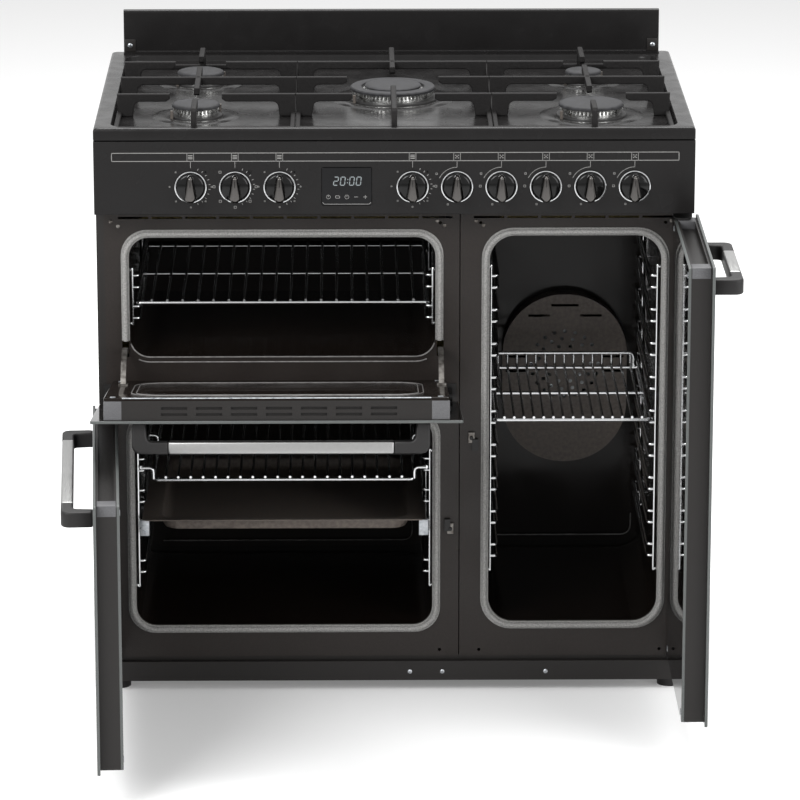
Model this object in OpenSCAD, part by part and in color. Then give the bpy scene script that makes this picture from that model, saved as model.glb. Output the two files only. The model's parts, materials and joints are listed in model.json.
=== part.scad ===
// Free-standing range cooker: five gas burners, a grill, a main oven and a tall fan oven.
// Right-handed frame, +Z up, +X to the cook's right, +Y to the wall. The origin is on the floor,
// in the middle of the closed cooker's footprint. The doors are drawn open.

/* [Carcass] */
// Overall width
body_w = 900; // [890:1:910]
// Height of the hob's edge above the floor
body_h = 900; // [897:1:903]
// Overall depth without handles and knobs
body_d = 600; // [590:1:610]
// Thickness of the folded steel sheet
sheet = 2; // [1.5:0.5:2]
// Distance of the door frames behind the fascia's face
frame_back = 46; // [44:1:48]
// Height of the rear upstand above the hob
upstand_h = 69; // [40:1:100]
// Diameter of a levelling foot
foot_d = 37; // [30:1:42]

/* [Ovens] */
// Radius of the cavities' corners
cavity_r = 30; // [10:1:40]
// Thickness of the cavities' enamelled steel
wall = 1.5; // [1:0.5:1.5]
// Y of the grill's and main oven's rear wall
cavity_rear = 158; // [150:1:165]
// Y of the tall oven's rear wall
tall_rear = 168; // [166:1:172]
// Thickness of the insulation
blanket = 20; // [10:1:22]
// Width of a seal's bead
seal_w = 13; // [9:1:13]
// Thickness of a seal's bead
seal_t = 7.5; // [5:0.5:7.5]

/* [Doors] */
// Thickness of a whole door
door_t = 38; // [38:1:38]
// Thickness of each glass pane
pane_t = 4.5; // [4:0.5:5]
// Width of a door frame's sides
stile_w = 26; // [24:1:28]
// Angle that the grill door is drawn open
grill_open = 80; // [0:1:80]
// Angle that the main oven's door is drawn open
main_open = 87; // [0:1:90]
// Angle that the tall oven's door is drawn open
tall_open = 90; // [0:1:90]
// Projection of the handles from the glass
handle_out = 46; // [40:1:46]
// Length of a wide door's handle
handle_l = 437; // [380:1:450]
// Length of the tall door's handle
tall_handle_l = 239; // [200:1:260]
// Running clearance of pins and shafts, on the radius
fit = 0.05; // [0.03:0.01:0.1]

/* [Racks] */
// Radius of a shelf's or ladder's wire
wire_r = 2.5; // [2:0.1:2.5]
// Radius of a shelf's outer rod
rod_r = 3; // [2.5:0.1:3]
// Spacing of the tall oven's runner pairs
ladder_pitch = 53.4; // [50:0.1:54]
// Distance between the two wires of a runner pair
pair_gap = 18.3; // [18:0.1:19]

/* [Hob] */
// Depth of the pressed well
well_depth = 8; // [6:1:9]
// Height of the pan supports above the hob's edge
support_h = 26.5; // [24:0.5:30]
// Thickness of a pan support's bars
bar_t = 8.5; // [7:0.5:9]
// Spacing of the control knobs
knob_pitch = 66.5; // [62:0.5:67]
// Diameter of a knob's chrome ring
knob_d = 48.5; // [44:0.5:50]

/* [Hidden] */
$fn = 48;

// Carcass planes
half_w = body_w / 2;
half_d = body_d / 2;
front_y = -half_d;
frame_y = front_y + frame_back;
frame_in = frame_y + sheet;
inner_x = half_w - sheet;
rear_in = half_d - sheet;
base_z = 56;
fascia_z = 768;
hob_under = body_h - 18;
flange_w = 12;
split_x = 98.8;
frame_gap = 1.5;
skirt_z = 40;

// Cavity openings: left, right, bottom, top, rear
grill_box = [-401, 62, 536, 722, cavity_rear];
main_box = [-397, 58, 108, 438, cavity_rear];
tall_box = [145, 404, 113, 724, tall_rear];
tall_r = cavity_r + 8;
blanket_front = -205;
lamp_r = 20;

// Feet and plinth
foot_x = 428;
foot_front = -222;
foot_rear = 262;
plinth_x = 440;
plinth_bottom = 19;
plinth_top = 50;

// Hob wells and burners: X, Y, cap diameter
well_floor = body_h - well_depth;
well_side = 30;
well_front = 10;
well_rear = 38;
burners = [[-300, 80, 73], [-300, -170, 73], [0, -40, 131], [300, 80, 57], [300, -170, 99]];
wok = 2;
cap_z = well_floor + 15;
cap_t = 7;

// Doors, closed: left, right, bottom, top of the outer glass
grill_glass = [-447, 98, 466, 759];
main_glass = [-447, 98, 60, 463];
tall_glass = [102, 447, 60, 759];
back_y = front_y + door_t;
pane_y = front_y + pane_t;
inner_y = back_y - pane_t;
grill_frame = [-427, 78, 470, 755];
main_frame = [-443, 80, 62, 458.5];
tall_frame = [120, 443, 62, 754];
grill_pivot = [0, -288, 480];
main_pivot = [-434, -275, 0];
tall_pivot = [434, -275, 0];
arm_r = 73;
arm_t = 8;
arm_x = [[-412, -404], [66, 74]];
grill_pin_r = 3;
door_pin_r = 4;
pin_depth = 14;
handle_h = 23;
bar_deep = 18;
post_l = 53;
grill_handle_z = 720;
main_handle_z = 418;
tall_handle_z = 705;

// Runner heights: upper wire of each pair
tall_runners = [for (i = [0:8]) 654.4 - i * ladder_pitch];
grill_runners = [656, 607.6];
main_runners = [366, 316, 268, 203];
ladder_front = -225;
ladder_rear = 120;
ladder_wall = 3;
runner_in = 13;
shelf_in = 9;
rest_gap = 0.3;
seat = wire_r + rest_gap + rod_r;

// Fascia
knob_z = 811;
left_knobs = [-305, -305 + knob_pitch, -305 + 2 * knob_pitch];
right_knobs = [for (i = [0:5]) 27 + i * knob_pitch];
shaft_r = 4;
hole_r = 7;
tap_back = -246;
clock_box = [-109, -34, 782, 840];
rail_y = -236;
rail_r = 8;
inlet_x = 424;
inlet_z = 836;

// Fan
fan_x = 278;
fan_z = 419;
fan_shaft_r = 4;
baffle_y = 138;

// Solid block between two opposite corners
module block(a, b) {
    translate(a) cube(b - a);
}

// Rectangle with round corners, drawn as X and Z: edges are left, right, bottom, top
module round_rect(e, r) {
    translate([e[0] + r, e[2]]) square([e[1] - e[0] - 2 * r, e[3] - e[2]]);
    translate([e[0], e[2] + r]) square([e[1] - e[0], e[3] - e[2] - 2 * r]);
    for (x = [e[0] + r, e[1] - r], z = [e[2] + r, e[3] - r])
        translate([x, z]) circle(r);
}

// Edges grown outwards by d
function grown(e, d) = [e[0] - d, e[1] + d, e[2] - d, e[3] + d];

// An X-Z drawing extruded from Y = y0 to Y = y1
module along_y(y0, y1) {
    translate([0, y1, 0]) rotate([90, 0, 0]) linear_extrude(y1 - y0) children();
}

// A Y-Z drawing extruded from X = x0 to X = x1
module along_x(x0, x1) {
    translate([x0, 0, 0]) rotate([90, 0, 90]) linear_extrude(x1 - x0) children();
}

// Straight bar from a to b
module bar(a, b, r, sides = 8) {
    v = b - a;
    translate(a) rotate([0, acos(v[2] / norm(v)), atan2(v[1], v[0])])
        cylinder(h = norm(v), r = r, $fn = sides);
}

// Round peg along Y from y0 to y1
module peg_y(x, z, y0, y1, r) {
    translate([x, y1, z]) rotate([90, 0, 0]) cylinder(h = y1 - y0, r = r);
}

// Round peg along X from x0 to x1
module peg_x(x0, x1, y, z, r) {
    translate([x0, y, z]) rotate([0, 90, 0]) cylinder(h = x1 - x0, r = r);
}

// Flat shapes turned about a point
module rotate_about(p, a) {
    translate(p) rotate(a) children();
}

// Flat frame plate with one hole
module ring_plate(outer, r_out, inner, r_in) {
    difference() {
        round_rect(outer, r_out);
        round_rect(inner, r_in);
    }
}

// The same shape on both sides of the cooker
module both_sides() {
    children();
    mirror([1, 0, 0]) children();
}

// Folded side sheets with a front and a rear flange
module side_panels() {
    color("#262424") both_sides() {
        block([inner_x, frame_y, base_z], [half_w, half_d, hob_under]);
        block([half_w - flange_w, frame_y, base_z], [half_w, frame_in, fascia_z]);
        block([half_w - flange_w, rear_in - sheet, base_z + sheet], [half_w, rear_in, hob_under]);
    }
}

// Rear sheet with cooling slots, the gas inlet's hole and the mains cable's gland
gland_x = 330;
gland_z = 640;
gland_r = 12;
module rear_panel() {
    color("#8d9091") {
        difference() {
            block([-inner_x, rear_in, base_z + sheet], [inner_x, half_d, hob_under]);
            for (x = [-360:60:0], z = [150:24:294])
                block([x, rear_in - 1, z], [x + 40, half_d + 1, z + 6]);
            for (x = [-360:60:300])
                block([x, rear_in - 1, 840], [x + 40, half_d + 1, 848]);
            peg_y(inlet_x, knob_z, rear_in - 1, half_d + 1, rail_r + 3);
        }
        difference() {
            peg_y(gland_x, gland_z, half_d, half_d + 14, gland_r);
            peg_y(gland_x, gland_z, half_d + 1, half_d + 15, gland_r - 6);
        }
    }
}

// Floor of the carcass with a downturned skirt
module base_tray() {
    color("#8d9091") difference() {
        block([-inner_x, frame_in, skirt_z], [inner_x, rear_in, base_z + sheet]);
        block([-inner_x + sheet, frame_in + sheet, skirt_z - 1],
            [inner_x - sheet, rear_in - sheet, base_z]);
        for (x = [-foot_x, foot_x], y = [foot_front, foot_rear])
            translate([x, y, base_z - 1]) cylinder(h = sheet + 2, r = 5.3);
    }
}

// Kick plate under the doors, with returned ends and a top flange
module plinth() {
    color("#262424") {
        block([-plinth_x, back_y, plinth_bottom], [plinth_x, back_y + sheet, plinth_top]);
        block([-plinth_x, back_y, plinth_top - sheet], [plinth_x, frame_in, plinth_top]);
        both_sides() block([plinth_x - sheet, back_y, plinth_bottom], [plinth_x, frame_y, plinth_top]);
    }
}

// Screwed feet with a hexagonal collar and a lock nut
module levelling_feet() {
    color("#1b1b1b") for (x = [-foot_x, foot_x], y = [foot_front, foot_rear]) translate([x, y, 0]) {
        cylinder(h = 12, r = foot_d / 2);
        translate([0, 0, 12]) cylinder(h = 4, r1 = foot_d / 2, r2 = foot_d / 2 - 5);
        translate([0, 0, 16]) cylinder(h = 12, r = 10, $fn = 6);
        translate([0, 0, 28]) cylinder(h = 44, r = 5);
        translate([0, 0, base_z + sheet]) cylinder(h = 8, r = 9.5, $fn = 6);
        translate([0, 0, base_z - 8]) cylinder(h = 8, r = 9.5, $fn = 6);
    }
}

// Front sheet round the grill and the main oven, with slots for the grill door's curved arms
arm_slot_z = [536, 560];
vent_z = [751, 754.5];
module left_front_frame() {
    color("#262424") along_y(frame_y, frame_in) difference() {
        translate([-half_w + flange_w, base_z]) square([split_x + half_w - flange_w, fascia_z - base_z]);
        round_rect(grill_box, cavity_r);
        round_rect(main_box, cavity_r);
        for (x = arm_x)
            translate([x[0] - 1.2, arm_slot_z[0]])
                square([x[1] - x[0] + 2.4, arm_slot_z[1] - arm_slot_z[0]]);
        for (i = [0:9])
            translate([-417 + i * 51, vent_z[0]]) square([46, vent_z[1] - vent_z[0]]);
        for (z = [66, 744])
            translate([split_x - 29, z]) circle(2.5);
    }
}

// Front sheet round the tall oven
module right_front_frame() {
    color("#262424") along_y(frame_y, frame_in) difference() {
        translate([split_x + frame_gap, base_z])
            square([half_w - flange_w - split_x - frame_gap, fascia_z - base_z]);
        round_rect(tall_box, tall_r);
        for (i = [0:5])
            translate([120 + i * 51, vent_z[0]]) square([46, vent_z[1] - vent_z[0]]);
        for (z = [66, 744], x = [split_x + 32, half_w - 40])
            translate([x, z]) circle(2.5);
    }
}

// Enamelled box, open at the front: e is left, right, bottom, top, rear
module cavity(e, r) {
    difference() {
        along_y(frame_in, e[4] + wall) round_rect(grown(e, wall), r + wall);
        along_y(frame_in - 1, e[4]) round_rect(e, r);
    }
}

main_lamp = [-345, 395];
tall_lamp = [340, 684];
module grill_cavity() {
    color("#2b2a2e") cavity(grill_box, cavity_r);
}
module main_cavity() {
    color("#2b2a2e") difference() {
        cavity(main_box, cavity_r);
        peg_y(main_lamp[0], main_lamp[1], cavity_rear - 1, cavity_rear + wall + 1, lamp_r);
    }
}
module tall_cavity() {
    color("#2b2a2e") difference() {
        cavity(tall_box, tall_r);
        peg_y(tall_lamp[0], tall_lamp[1], tall_rear - 1, tall_rear + wall + 1, lamp_r);
        peg_y(fan_x, fan_z, tall_rear - 1, tall_rear + wall + 1, 2 * fan_shaft_r);
    }
}

// Mineral wool round one cavity
module wool(e, r) {
    difference() {
        along_y(blanket_front, e[4] + wall + blanket)
            round_rect(grown(e, wall + blanket), r + wall + blanket);
        along_y(blanket_front - 1, e[4] + wall) round_rect(grown(e, wall), r + wall);
    }
}
module insulation() {
    color("#c9b35a") difference() {
        union() {
            wool(grill_box, cavity_r);
            wool(main_box, cavity_r);
            wool(tall_box, tall_r);
        }
        for (hole = [[main_lamp, cavity_rear], [tall_lamp, tall_rear]])
            peg_y(hole[0][0], hole[0][1], hole[1] + wall - 1, hole[1] + wall + blanket + 1, lamp_r + 4);
        peg_y(fan_x, fan_z, tall_rear + wall - 1, tall_rear + wall + blanket + 1, 30);
    }
}

// Pressed hob: rolled edge, flat border and a sunk well with the burners' holes
module hob_rect(inset_side, inset_front, inset_rear, r) {
    e = [-half_w + inset_side, half_w - inset_side, front_y + inset_front, half_d - inset_rear];
    round_rect(e, r);
}
function throat_r(b) = b[2] * 0.3;
module hob_plate() {
    color("#1d1d20") {
        translate([0, 0, hob_under]) linear_extrude(body_h - hob_under) difference() {
            hob_rect(0, 0, 0, 3);
            hob_rect(sheet, sheet, sheet, 1);
        }
        translate([0, 0, body_h - sheet]) linear_extrude(sheet) difference() {
            hob_rect(0, 0, 0, 3);
            hob_rect(well_side, well_front, well_rear, 24);
        }
        translate([0, 0, well_floor - sheet]) linear_extrude(well_depth + sheet) difference() {
            hob_rect(well_side - sheet, well_front - sheet, well_rear - sheet, 26);
            hob_rect(well_side, well_front, well_rear, 24);
        }
        translate([0, 0, well_floor - sheet]) linear_extrude(sheet) difference() {
            hob_rect(well_side - sheet / 2, well_front - sheet / 2, well_rear - sheet / 2, 25);
            for (b = burners)
                translate([b[0], b[1]]) circle(throat_r(b) + 0.5);
        }
    }
}

// Splash-back sheet with a foot flange, a rolled top and an end bracket with a screw
upstand_x = [-430, 432];
upstand_y = 287;
module upstand() {
    color("#1d1d20") {
        block([upstand_x[0], upstand_y, body_h], [upstand_x[1], upstand_y + sheet, body_h + upstand_h]);
        block([upstand_x[0], upstand_y - 14, body_h], [upstand_x[1], upstand_y, body_h + sheet]);
        block([upstand_x[0], upstand_y, body_h + upstand_h - sheet],
            [upstand_x[1], half_d, body_h + upstand_h]);
        for (x = [upstand_x[0] + 10, upstand_x[1] - 10])
            peg_y(x, body_h + 14, upstand_y - 3, upstand_y, 5);
    }
}

// Fascia with cheeks, returns, shaft holes and the clock's window
module control_panel() {
    color("#1d1d20") {
        difference() {
            block([-half_w, front_y, fascia_z], [half_w, front_y + sheet, hob_under - sheet]);
            for (x = concat(left_knobs, right_knobs))
                peg_y(x, knob_z, front_y - 1, front_y + sheet + 1, hole_r);
            block([clock_box[0], front_y - 1, clock_box[2]],
                [clock_box[1], front_y + sheet + 1, clock_box[3]]);
        }
        both_sides() block([inner_x, front_y, fascia_z], [half_w, frame_y, hob_under - sheet]);
        block([-half_w, front_y, fascia_z], [half_w, frame_y, fascia_z + sheet]);
        block([-inner_x, frame_y, fascia_z], [inner_x, frame_in, fascia_z + sheet]);
        block([-half_w, front_y, hob_under - 2 * sheet], [half_w, frame_y, hob_under - sheet]);
    }
}

// Clock: a glass window in the fascia with its housing behind
module clock_module() {
    c = clock_box;
    color("#101014") {
        block([c[0], front_y - 0.6, c[2]], [c[1], front_y + sheet, c[3]]);
        block([c[0] - 4, front_y + sheet, c[2] - 4], [c[1] + 4, front_y + 30, c[3] + 4]);
    }
}

// Fibre seals: a bead round each oven's mouth, the grill's open at the bottom
grill_seal_foot = 561;
module seal(e, r, side) {
    along_y(frame_y - seal_t, frame_y) ring_plate(grown(e, side), r + side, grown(e, side - seal_w), r);
}
module door_seals() {
    color("#a9a9a6") {
        difference() {
            seal(grill_box, cavity_r, seal_w);
            block([grill_box[0] - 30, frame_y - 30, 500], [grill_box[1] + 30, frame_y, grill_seal_foot]);
        }
        seal(main_box, cavity_r, seal_w);
        seal(tall_box, tall_r, seal_w);
    }
}

// Gas pipe with its rear inlet, one tap for each burner and a feed tube to each burner
tap_r = 12;
tap_end = -262;
tube_r = 3.5;
burner_under = 868;
module gas_rail() {
    color("#b9a56a") {
        peg_x(right_knobs[1] - 20, inlet_x, rail_y, knob_z, rail_r);
        translate([inlet_x, rail_y, knob_z]) sphere(rail_r);
        peg_y(inlet_x, knob_z, rail_y, half_d, rail_r);
        difference() {
            peg_y(inlet_x, knob_z, half_d, half_d + 14, 10.5);
            peg_y(inlet_x, knob_z, half_d + 1, half_d + 15, 6);
        }
        for (i = [1:5]) {
            b = burners[i - 1];
            x = right_knobs[i];
            level = knob_z + 10 + 8 * i;
            difference() {
                peg_y(x, knob_z, front_y + sheet, rail_y + 4, tap_r);
                peg_y(x, knob_z, front_y, tap_end, shaft_r + fit);
            }
            bar([x, rail_y, knob_z], [x, rail_y, level + tube_r], tube_r);
            bar([x, rail_y - tube_r, level], [x, b[1] + tube_r, level], tube_r);
            bar([min(x, b[0]) - tube_r, b[1], level], [max(x, b[0]) + tube_r, b[1], level], tube_r);
            bar([b[0], b[1], level], [b[0], b[1], burner_under], tube_r);
        }
    }
}

// Rotary switches behind the oven knobs, and the mains terminal block inside the rear panel
module switches_and_terminals() {
    color("#d8d4c8") {
        for (x = concat(left_knobs, [right_knobs[0]])) difference() {
            block([x - 20, front_y + sheet, knob_z - 22], [x + 20, tap_end + 8, knob_z + 22]);
            peg_y(x, knob_z, front_y, tap_end, shaft_r + fit);
        }
        block([gland_x - 45, rear_in - 40, gland_z - 30], [gland_x + 45, rear_in, gland_z + 30]);
    }
}

// Burners: black base ring, throat through the hob and a slotted alloy crown
base_ring_t = 3;
crown_h = 12;
module crown(r_out, r_in, z0, z1, slots) {
    translate([0, 0, z0]) linear_extrude(z1 - z0) difference() {
        circle(r_out);
        if (r_in > 0) circle(r_in);
        for (i = [0:slots - 1])
            rotate(i * 360 / slots) translate([r_out - 3, -0.9]) square([4, 1.8]);
    }
}
module burner_crowns() {
    for (b = burners) translate([b[0], b[1], 0]) {
        r = b[2] / 2;
        color("#1d1d20") translate([0, 0, well_floor]) cylinder(h = base_ring_t, r = r + 4);
        color("#b5b5b2") {
            translate([0, 0, burner_under]) cylinder(h = well_floor - burner_under, r = throat_r(b));
            if (b[2] > 120) {
                crown(r - 3, r - 15, well_floor + base_ring_t, cap_z, 40);
                crown(r - 24, 0, well_floor + base_ring_t, cap_z + 2, 28);
            } else {
                crown(r - 2, 0, well_floor + base_ring_t, cap_z, round(b[2] / 3));
            }
        }
    }
}

// Enamelled caps; the wok burner has a ring and a centre cap
module cap(r_out, z) {
    translate([0, 0, z]) cylinder(h = cap_t - 2, r = r_out);
    translate([0, 0, z + cap_t - 2]) cylinder(h = 2, r1 = r_out, r2 = r_out - 3);
}
module burner_caps() {
    color("#3a3a3b") for (b = burners) translate([b[0], b[1], 0]) {
        r = b[2] / 2;
        if (b[2] > 120) {
            translate([0, 0, cap_z]) linear_extrude(cap_t - 1) difference() {
                circle(r);
                circle(r - 17);
            }
            cap(r - 22, cap_z + 2);
        } else {
            cap(r, cap_z);
        }
    }
}

// Ceramic spark pins and flame-sensing rods beside the burners
module spark_igniters() {
    color("#e6e2d6") for (b = burners, a = [35, 215])
        translate([b[0], b[1], well_floor]) rotate(a) translate([b[2] / 2 + 7, 0])
            cylinder(h = 13, r = 2.5);
}

// Tubular heaters: legs along Y joined by round bends, with the two ends in the rear wall
heater_r = 3.5;
module heater(x0, legs, pitch, y0, y1, z) {
    for (i = [0:legs - 1]) {
        ends_rear = i == 0 || i == legs - 1;
        peg_y(x0 + i * pitch, z, y0, ends_rear ? cavity_rear : y1, heater_r);
    }
    for (i = [0:legs - 2])
        translate([x0 + (i + 0.5) * pitch, i % 2 == 0 ? y0 : y1, z]) rotate(i % 2 == 0 ? 180 : 0)
            rotate_extrude(angle = 180) translate([pitch / 2, 0]) circle(heater_r);
}
module grill_heater() {
    z = grill_box[3] - 12;
    heater(-350, 6, 72, -150, 90, z);
    for (x = [-278, -62], y = [-120, 60])
        block([x - 4, y, z], [x + 4, y + 3, grill_box[3]]);
}

// Ring heater round the fan, with its two ends through the rear wall
module fan_heater() {
    ring_y = tall_rear - 13;
    ring_r = 80;
    translate([fan_x, ring_y, fan_z]) rotate([90, 0, 0])
        rotate_extrude() translate([ring_r, 0]) circle(heater_r);
    for (x = [-12, 12])
        peg_y(fan_x + x, fan_z - ring_r + 1, ring_y, tall_rear, heater_r);
}
module heating_elements() {
    color("#55524e") {
        grill_heater();
        heater(-330, 4, 100, -150, 90, main_box[3] - 14);
        fan_heater();
    }
}

// Dished cover over the fan, with slots and groups of round holes
baffle_e = [178, 378, 256, 534];
baffle_r = 98;
slot_h = 4;
baffle_t = 1.5;
module fan_baffle() {
    color("#2b2a2e") {
        along_y(baffle_y, baffle_y + baffle_t) difference() {
            round_rect(baffle_e, baffle_r);
            translate([fan_x - 22, fan_z + 95]) square([44, slot_h]);
            for (x = [fan_x - 59, fan_x + 24])
                translate([x, fan_z + 78]) square([35, slot_h]);
            for (x = [baffle_e[0] + 5, baffle_e[1] - 39], z = [-52, -14, 10])
                translate([x, fan_z + z]) square([34, slot_h]);
            for (ring = [[54, 20], [42, 15], [30, 10]], i = [1:ring[1]])
                rotate_about([fan_x, fan_z], i * 360 / ring[1]) translate([ring[0], 0]) circle(3);
        }
        along_y(baffle_y + baffle_t, tall_rear) ring_plate(baffle_e, baffle_r, grown(baffle_e, -baffle_t),
            baffle_r - baffle_t);
    }
}

// Motor on its bracket behind the tall oven; the fan's shaft runs in its bore
motor_y = tall_rear + wall + blanket;
module fan_motor() {
    color("#7d7f80") difference() {
        union() {
            block([fan_x - 60, motor_y, fan_z - 45], [fan_x + 60, motor_y + sheet, fan_z + 45]);
            peg_y(fan_x, fan_z, motor_y + sheet, motor_y + 50, 34);
            peg_y(fan_x, fan_z, motor_y + 50, motor_y + 62, 18);
        }
        peg_y(fan_x, fan_z, motor_y - 1, motor_y + 40, fan_shaft_r + fit);
    }
}

// Fan wheel: back disc, straight vanes, hub and shaft
module fan_blade() {
    color("#9fa2a3") {
        peg_y(fan_x, fan_z, baffle_y + 8, motor_y + 38, fan_shaft_r);
        peg_y(fan_x, fan_z, baffle_y + 8, baffle_y + 24, 10);
        peg_y(fan_x, fan_z, baffle_y + 20, baffle_y + 21.5, 62);
        for (a = [0:30:330])
            translate([fan_x, baffle_y + 7, fan_z]) rotate([0, a, 0]) translate([26, 0, -0.75])
                cube([34, 13.5, 1.5]);
    }
}

// Wire ladder on both walls of a cavity: uprights and pairs of runner wires
module ladder_wires(e, pairs, z0, z1, side) {
    wall_x = side > 0 ? e[0] : e[1];
    up_x = wall_x + side * ladder_wall;
    run_x = wall_x + side * runner_in;
    for (y = [ladder_front, ladder_rear]) {
        bar([up_x, y, z0], [up_x, y, z1], wire_r);
        for (z = [z0 + 8, z1 - 8])
            bar([wall_x, y, z], [up_x, y, z], wire_r);
    }
    for (p = pairs, z = [p, p - pair_gap]) {
        bar([run_x, ladder_front - wire_r, z], [run_x, ladder_rear + wire_r, z], wire_r);
        for (y = [ladder_front, ladder_rear])
            bar([up_x, y, z], [run_x, y, z], wire_r);
    }
}
module left_oven_ladders() {
    color("#b9bbbc") for (side = [-1, 1]) {
        ladder_wires(grill_box, grill_runners, 578, 668, side);
        ladder_wires(main_box, main_runners, 160, 382, side);
    }
}
module tall_ladder(side) {
    color("#b9bbbc") ladder_wires(tall_box, tall_runners, 185, 672, side);
}
module tall_ladder_left() {
    tall_ladder(1);
}
module tall_ladder_right() {
    tall_ladder(-1);
}

// Lamps in the rear walls: flange and glass inside, holder behind
module lamp(p, rear) {
    peg_y(p[0], p[1], rear, rear + 30, lamp_r);
    peg_y(p[0], p[1], rear - 3, rear, lamp_r + 5);
    peg_y(p[0], p[1], rear - 9, rear - 3, lamp_r - 2);
}
module oven_lamps() {
    color("#d9dbd6") {
        lamp(main_lamp, cavity_rear);
        lamp(tall_lamp, tall_rear);
    }
}

// Hinge bracket for a side-hung door: tab on the frame, plate with a round nose, pin
nose_r = 13;
module side_bracket(p, z0, z1, pin_z) {
    translate([p[0], p[1], z0]) cylinder(h = z1 - z0, r = nose_r);
    block([p[0] - nose_r, p[1], z0], [p[0] + nose_r, frame_y, z1]);
    block([p[0] - nose_r, frame_y - sheet, max(base_z, z0 - 10)], [p[0] + nose_r, frame_y, z1 + 10]);
    translate([p[0], p[1], min(pin_z, z0)]) cylinder(h = abs(pin_z - z0), r = door_pin_r);
}

// Hinge bracket for the grill door, in the strip where the glass overhangs the door's frame
module grill_bracket(x0, x1, pin_to) {
    along_x(x0, x1) {
        translate([grill_pivot[1], grill_pivot[2]]) circle(7);
        translate([grill_pivot[1], grill_pivot[2] - 6]) square([frame_y - grill_pivot[1], 13]);
    }
    block([x0 - 6, frame_y - sheet, 468], [x1 + 6, frame_y, 493]);
    peg_x(min(x0, pin_to), max(x1, pin_to), grill_pivot[1], grill_pivot[2], grill_pin_r);
}
bracket_t = 3;
module door_hardware() {
    color("#8f9294") {
        side_bracket(main_pivot, main_frame[3] + 0.5, main_frame[3] + 2.5, main_frame[3] - 12);
        side_bracket(main_pivot, base_z, main_frame[2] - 2.5, main_frame[2] + 12);
        side_bracket(tall_pivot, tall_frame[3] + 1, tall_frame[3] + 1 + bracket_t, tall_frame[3] - 12);
        side_bracket(tall_pivot, base_z, tall_frame[2] - 2.5, tall_frame[2] + 12);
        grill_bracket(-436, -430, grill_frame[0] + pin_depth - 2);
        grill_bracket(82, 88, grill_frame[1] - pin_depth + 2);
        for (c = [[81.5, 268.5], [123.5, 396]])
            block([c[0] - 4.5, frame_y - 6, c[1] - 9.5], [c[0] + 4.5, frame_y, c[1] + 9.5]);
    }
}

// Cast pan supports: inverted-U bars across, fingers towards the burners, a low base frame
section_gap = 0.5;
support_x = [-419.5, -148.5, 148.5, 419.5];
support_y = [-286, 198];
beam_h = 12;
leg_w = 26;
rail_w = 7;
bar_y = [80, -42, -170];
support_top = body_h + support_h;
whole = [0, 0];
module u_bar(x0, x1, y, gap) {
    along_y(y - bar_t / 2, y + bar_t / 2) difference() {
        translate([x0, well_floor]) square([x1 - x0, support_top - well_floor]);
        round_rect([x0 + leg_w, x1 - leg_w, well_floor - 30, support_top - beam_h], 8);
        if (gap[1] > gap[0])
            translate([gap[0], well_floor - 1]) square([gap[1] - gap[0], support_top - well_floor + 2]);
    }
}
module finger(x, y0, y1, foot_y) {
    block([x - bar_t / 2, y0, support_top - beam_h], [x + bar_t / 2, y1, support_top]);
    block([x - bar_t / 2, foot_y - 5, well_floor], [x + bar_t / 2, foot_y + 5, support_top]);
}
module base_frame(x0, x1) {
    difference() {
        translate([0, 0, well_floor]) linear_extrude(rail_w) intersection() {
            translate([x0, support_y[0]]) square([x1 - x0, support_y[1] - support_y[0]]);
            hob_rect(well_side, well_front + 3.5, well_rear, 24);
        }
        block([x0 + rail_w, support_y[0] + rail_w, well_floor - 1],
            [x1 - rail_w, support_y[1] - rail_w, well_floor + rail_w + 1]);
    }
}
module two_burner_support(x0, x1, rear, front) {
    reach = 3;
    x = rear[0];
    rr = rear[2] / 2 + reach;
    fr = front[2] / 2 + reach;
    color("#232324") {
        base_frame(x0, x1);
        u_bar(x0, x1, bar_y[0], [x - rr, x + rr]);
        u_bar(x0, x1, bar_y[1], whole);
        u_bar(x0, x1, bar_y[2], [x - fr, x + fr]);
        finger(x, rear[1] + rr, support_y[1], support_y[1] - 5);
        block([x - bar_t / 2, front[1] + fr, support_top - beam_h],
            [x + bar_t / 2, rear[1] - rr, support_top]);
        finger(x, support_y[0], front[1] - fr, support_y[0] + 5);
    }
}
module pan_support_left() {
    two_burner_support(support_x[0], support_x[1] - section_gap, burners[0], burners[1]);
}
module pan_support_right() {
    two_burner_support(support_x[2] + section_gap, support_x[3], burners[3], burners[4]);
}
module pan_support_centre() {
    b = burners[wok];
    r = b[2] / 2 + 5;
    color("#232324") {
        base_frame(support_x[1] + section_gap, support_x[2] - section_gap);
        u_bar(support_x[1] + section_gap, support_x[2] - section_gap, bar_y[0], whole);
        u_bar(support_x[1] + section_gap, support_x[2] - section_gap, bar_y[1], [-r, r]);
        u_bar(support_x[1] + section_gap, support_x[2] - section_gap, bar_y[2], [-r + 8, r - 8]);
        finger(b[0], b[1] + r, support_y[1], support_y[1] - 5);
        finger(b[0], support_y[0], b[1] - r, support_y[0] + 5);
    }
}

// Grid of a wire shelf: rods along both sides, three cross rods, and thin wires over them
shelf_thin = wire_r - 0.5;
module grid(x0, x1, y0, y1, z, pitch) {
    wire_z = z + rod_r + shelf_thin - 1;
    for (x = [x0, x1])
        bar([x, y0, z], [x, y1, z], rod_r);
    for (y = [y0, (y0 + y1) / 2, y1])
        bar([x0, y, z], [x1, y, z], rod_r);
    for (x = [x0 + pitch : pitch : x1 - pitch / 2])
        bar([x, y0, wire_z], [x, y1, wire_z], shelf_thin);
}
module shelf(e, z, y0, y1, pitch) {
    grid(e[0] + shelf_in, e[1] - shelf_in, y0, y1, z, pitch);
}
module grill_shelf() {
    color("#c4c6c7") shelf(grill_box, grill_runners[1] + seat, ladder_front, 146, 23);
}

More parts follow.
